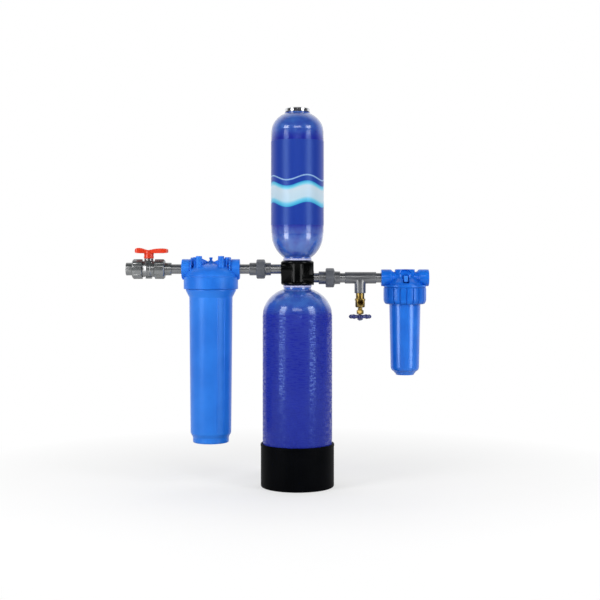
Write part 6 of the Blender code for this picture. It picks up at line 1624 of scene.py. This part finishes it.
make_boot()
make_lower_tank()
make_upper_tank()
make_label()
make_neck_rings()
make_top_cap()
make_connector()
make_valve()
make_union("inlet", INLET_Z)
make_union("outlet", OUTLET_Z)
for pipe_node in (
    "inlet_pipe", "prefilter_pipe", "connector_inlet_pipe", "connector_outlet_pipe", "tee_inlet_pipe",
    "tee_outlet_pipe",
):
    make_pipe(pipe_node)
make_tee()
make_drain_valve()
make_lid()
make_sump()
make_postfilter_head()
make_ring_nut()
make_postfilter_sump()
finish_hidden_nodes()

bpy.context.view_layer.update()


def sight(tree, seen, in_gloss):
    """One for rays that see the background: the camera's, through glass and, if asked, a share of gloss."""
    through = add(tree, "ShaderNodeMath", {
        0: seen.outputs["Is Camera Ray"], 1: seen.outputs["Is Transmission Ray"],
    }, operation="MAXIMUM")
    if not in_gloss:
        return through.outputs[0]
    gloss = add(tree, "ShaderNodeMath", {
        0: seen.outputs["Is Glossy Ray"], 1: FLOOR_GLOSS_SHARE,
    }, operation="MULTIPLY")
    return add(tree, "ShaderNodeMath", {
        0: through.outputs[0], 1: gloss.outputs[0],
    }, operation="MAXIMUM").outputs[0]


def studio_floor():
    """A pale floor. To the camera it fades into the white behind, and only the boot's soft shadow stays."""
    clear_selection()
    bpy.ops.mesh.primitive_plane_add(size=FLOOR_SIZE)
    floor = bpy.context.object
    floor.name = "studio_floor"
    material, tree, shader = new_finish("pale_floor_paint")
    place = add(tree, "ShaderNodeTexCoord").outputs["Object"]
    grain = add(tree, "ShaderNodeTexNoise", {"Vector": place, "Scale": 3.0, "Detail": 2.0})
    tint = add(
        tree, "ShaderNodeValToRGB", {"Fac": grain.outputs["Fac"]}, [(0.0, "#F4F4F3"), (1.0, "#FAFAFA")]
    )
    seen = add(tree, "ShaderNodeLightPath")
    bounce = add(tree, "ShaderNodeMix", {
        "Factor": seen.outputs["Is Diffuse Ray"], 6: tint.outputs["Color"], 7: linear("#9C9C9C"),
    }, data_type="RGBA")
    sheen = add(tree, "ShaderNodeMapRange", {
        "Value": seen.outputs["Is Glossy Ray"], "To Min": 0.9, "To Max": 0.10,
    })
    fill(tree, shader, {"Base Color": bounce.outputs[2], "Roughness": sheen.outputs["Result"]})
    glow = add(tree, "ShaderNodeEmission", {"Color": linear("#FFFFFF"), "Strength": 1.0})
    distance = add(tree, "ShaderNodeVectorMath", {0: place}, operation="LENGTH")
    fade = add(tree, "ShaderNodeMapRange", {
        "Value": distance.outputs["Value"], "From Min": FADE_START, "From Max": FADE_END,
        "To Min": FLOOR_WHITE_SHARE, "To Max": 1.0,
    })
    share = add(tree, "ShaderNodeMath", {
        0: sight(tree, seen, True), 1: fade.outputs["Result"],
    }, operation="MULTIPLY")
    mixed = add(tree, "ShaderNodeMixShader", {0: share.outputs[0], 1: shader.outputs[0], 2: glow.outputs[0]})
    fill(tree, tree.nodes["Material Output"], {"Surface": mixed.outputs[0]})
    floor.data.materials.append(material)


def studio_world():
    """The camera sees white. As light and in gloss, the room is a white wall behind and dim in front."""
    world = bpy.data.worlds.new("studio_world")
    world.use_nodes = True
    bpy.context.scene.world = world
    tree = world.node_tree
    way = add(tree, "ShaderNodeTexCoord").outputs["Generated"]
    split = add(tree, "ShaderNodeSeparateXYZ", {"Vector": way})
    room = add(tree, "ShaderNodeMapRange", {
        "Value": split.outputs["Y"], "From Min": -0.25, "From Max": 0.55,
        "To Min": ROOM_STRENGTH, "To Max": 1.0,
    })
    wall = add(tree, "ShaderNodeMapRange", {
        "Value": split.outputs["Y"], "From Min": 0.0, "From Max": 0.5, "To Min": ROOM_GLOSS, "To Max": 1.0,
    })
    seen = add(tree, "ShaderNodeLightPath")
    lit = add(tree, "ShaderNodeMix", {
        "Factor": seen.outputs["Is Glossy Ray"], 2: room.outputs["Result"], 3: wall.outputs["Result"],
    }, data_type="FLOAT")
    strength = add(tree, "ShaderNodeMath", {
        0: sight(tree, seen, False), 1: lit.outputs[0],
    }, operation="MAXIMUM")
    fill(tree, tree.nodes["Background"], {"Color": linear("#FFFFFF"), "Strength": strength.outputs[0]})


def softbox(name, place, size, power):
    """A rectangular lamp at a place, turned to face the lamps' aim."""
    clear_selection()
    bpy.ops.object.light_add(type="AREA", location=place)
    lamp = bpy.context.object
    lamp.name = name
    lamp.rotation_euler = (Vector(place) - Vector(LAMP_AIM)).to_track_quat("Z", "Y").to_euler()
    lamp.data.shape = "RECTANGLE"
    lamp.data.size, lamp.data.size_y = size
    lamp.data.energy = power


studio_floor()
studio_world()
# Two tall softboxes give every round piece its pair of upright highlights
softbox("left_softbox", (-SIDE_LAMP_X, SIDE_LAMP_Y, SIDE_LAMP_Z), SIDE_LAMP_SIZE, LEFT_LAMP_POWER)
softbox("right_softbox", (SIDE_LAMP_X, SIDE_LAMP_Y, SIDE_LAMP_Z), SIDE_LAMP_SIZE, RIGHT_LAMP_POWER)
# A long strip above the camera lays a level highlight along the pipes
softbox("front_softbox", FRONT_LAMP_PLACE, FRONT_LAMP_SIZE, FRONT_LAMP_POWER)

clear_selection()
bpy.ops.object.camera_add(location=CAMERA_PLACE, rotation=(QUARTER_TURN, 0, 0))
camera = bpy.context.object
camera.data.lens = CAMERA_LENS
camera.data.sensor_width = CAMERA_SENSOR
camera.data.shift_y = CAMERA_SHIFT
bpy.context.scene.camera = camera
bpy.context.scene.view_settings.view_transform = "Standard"
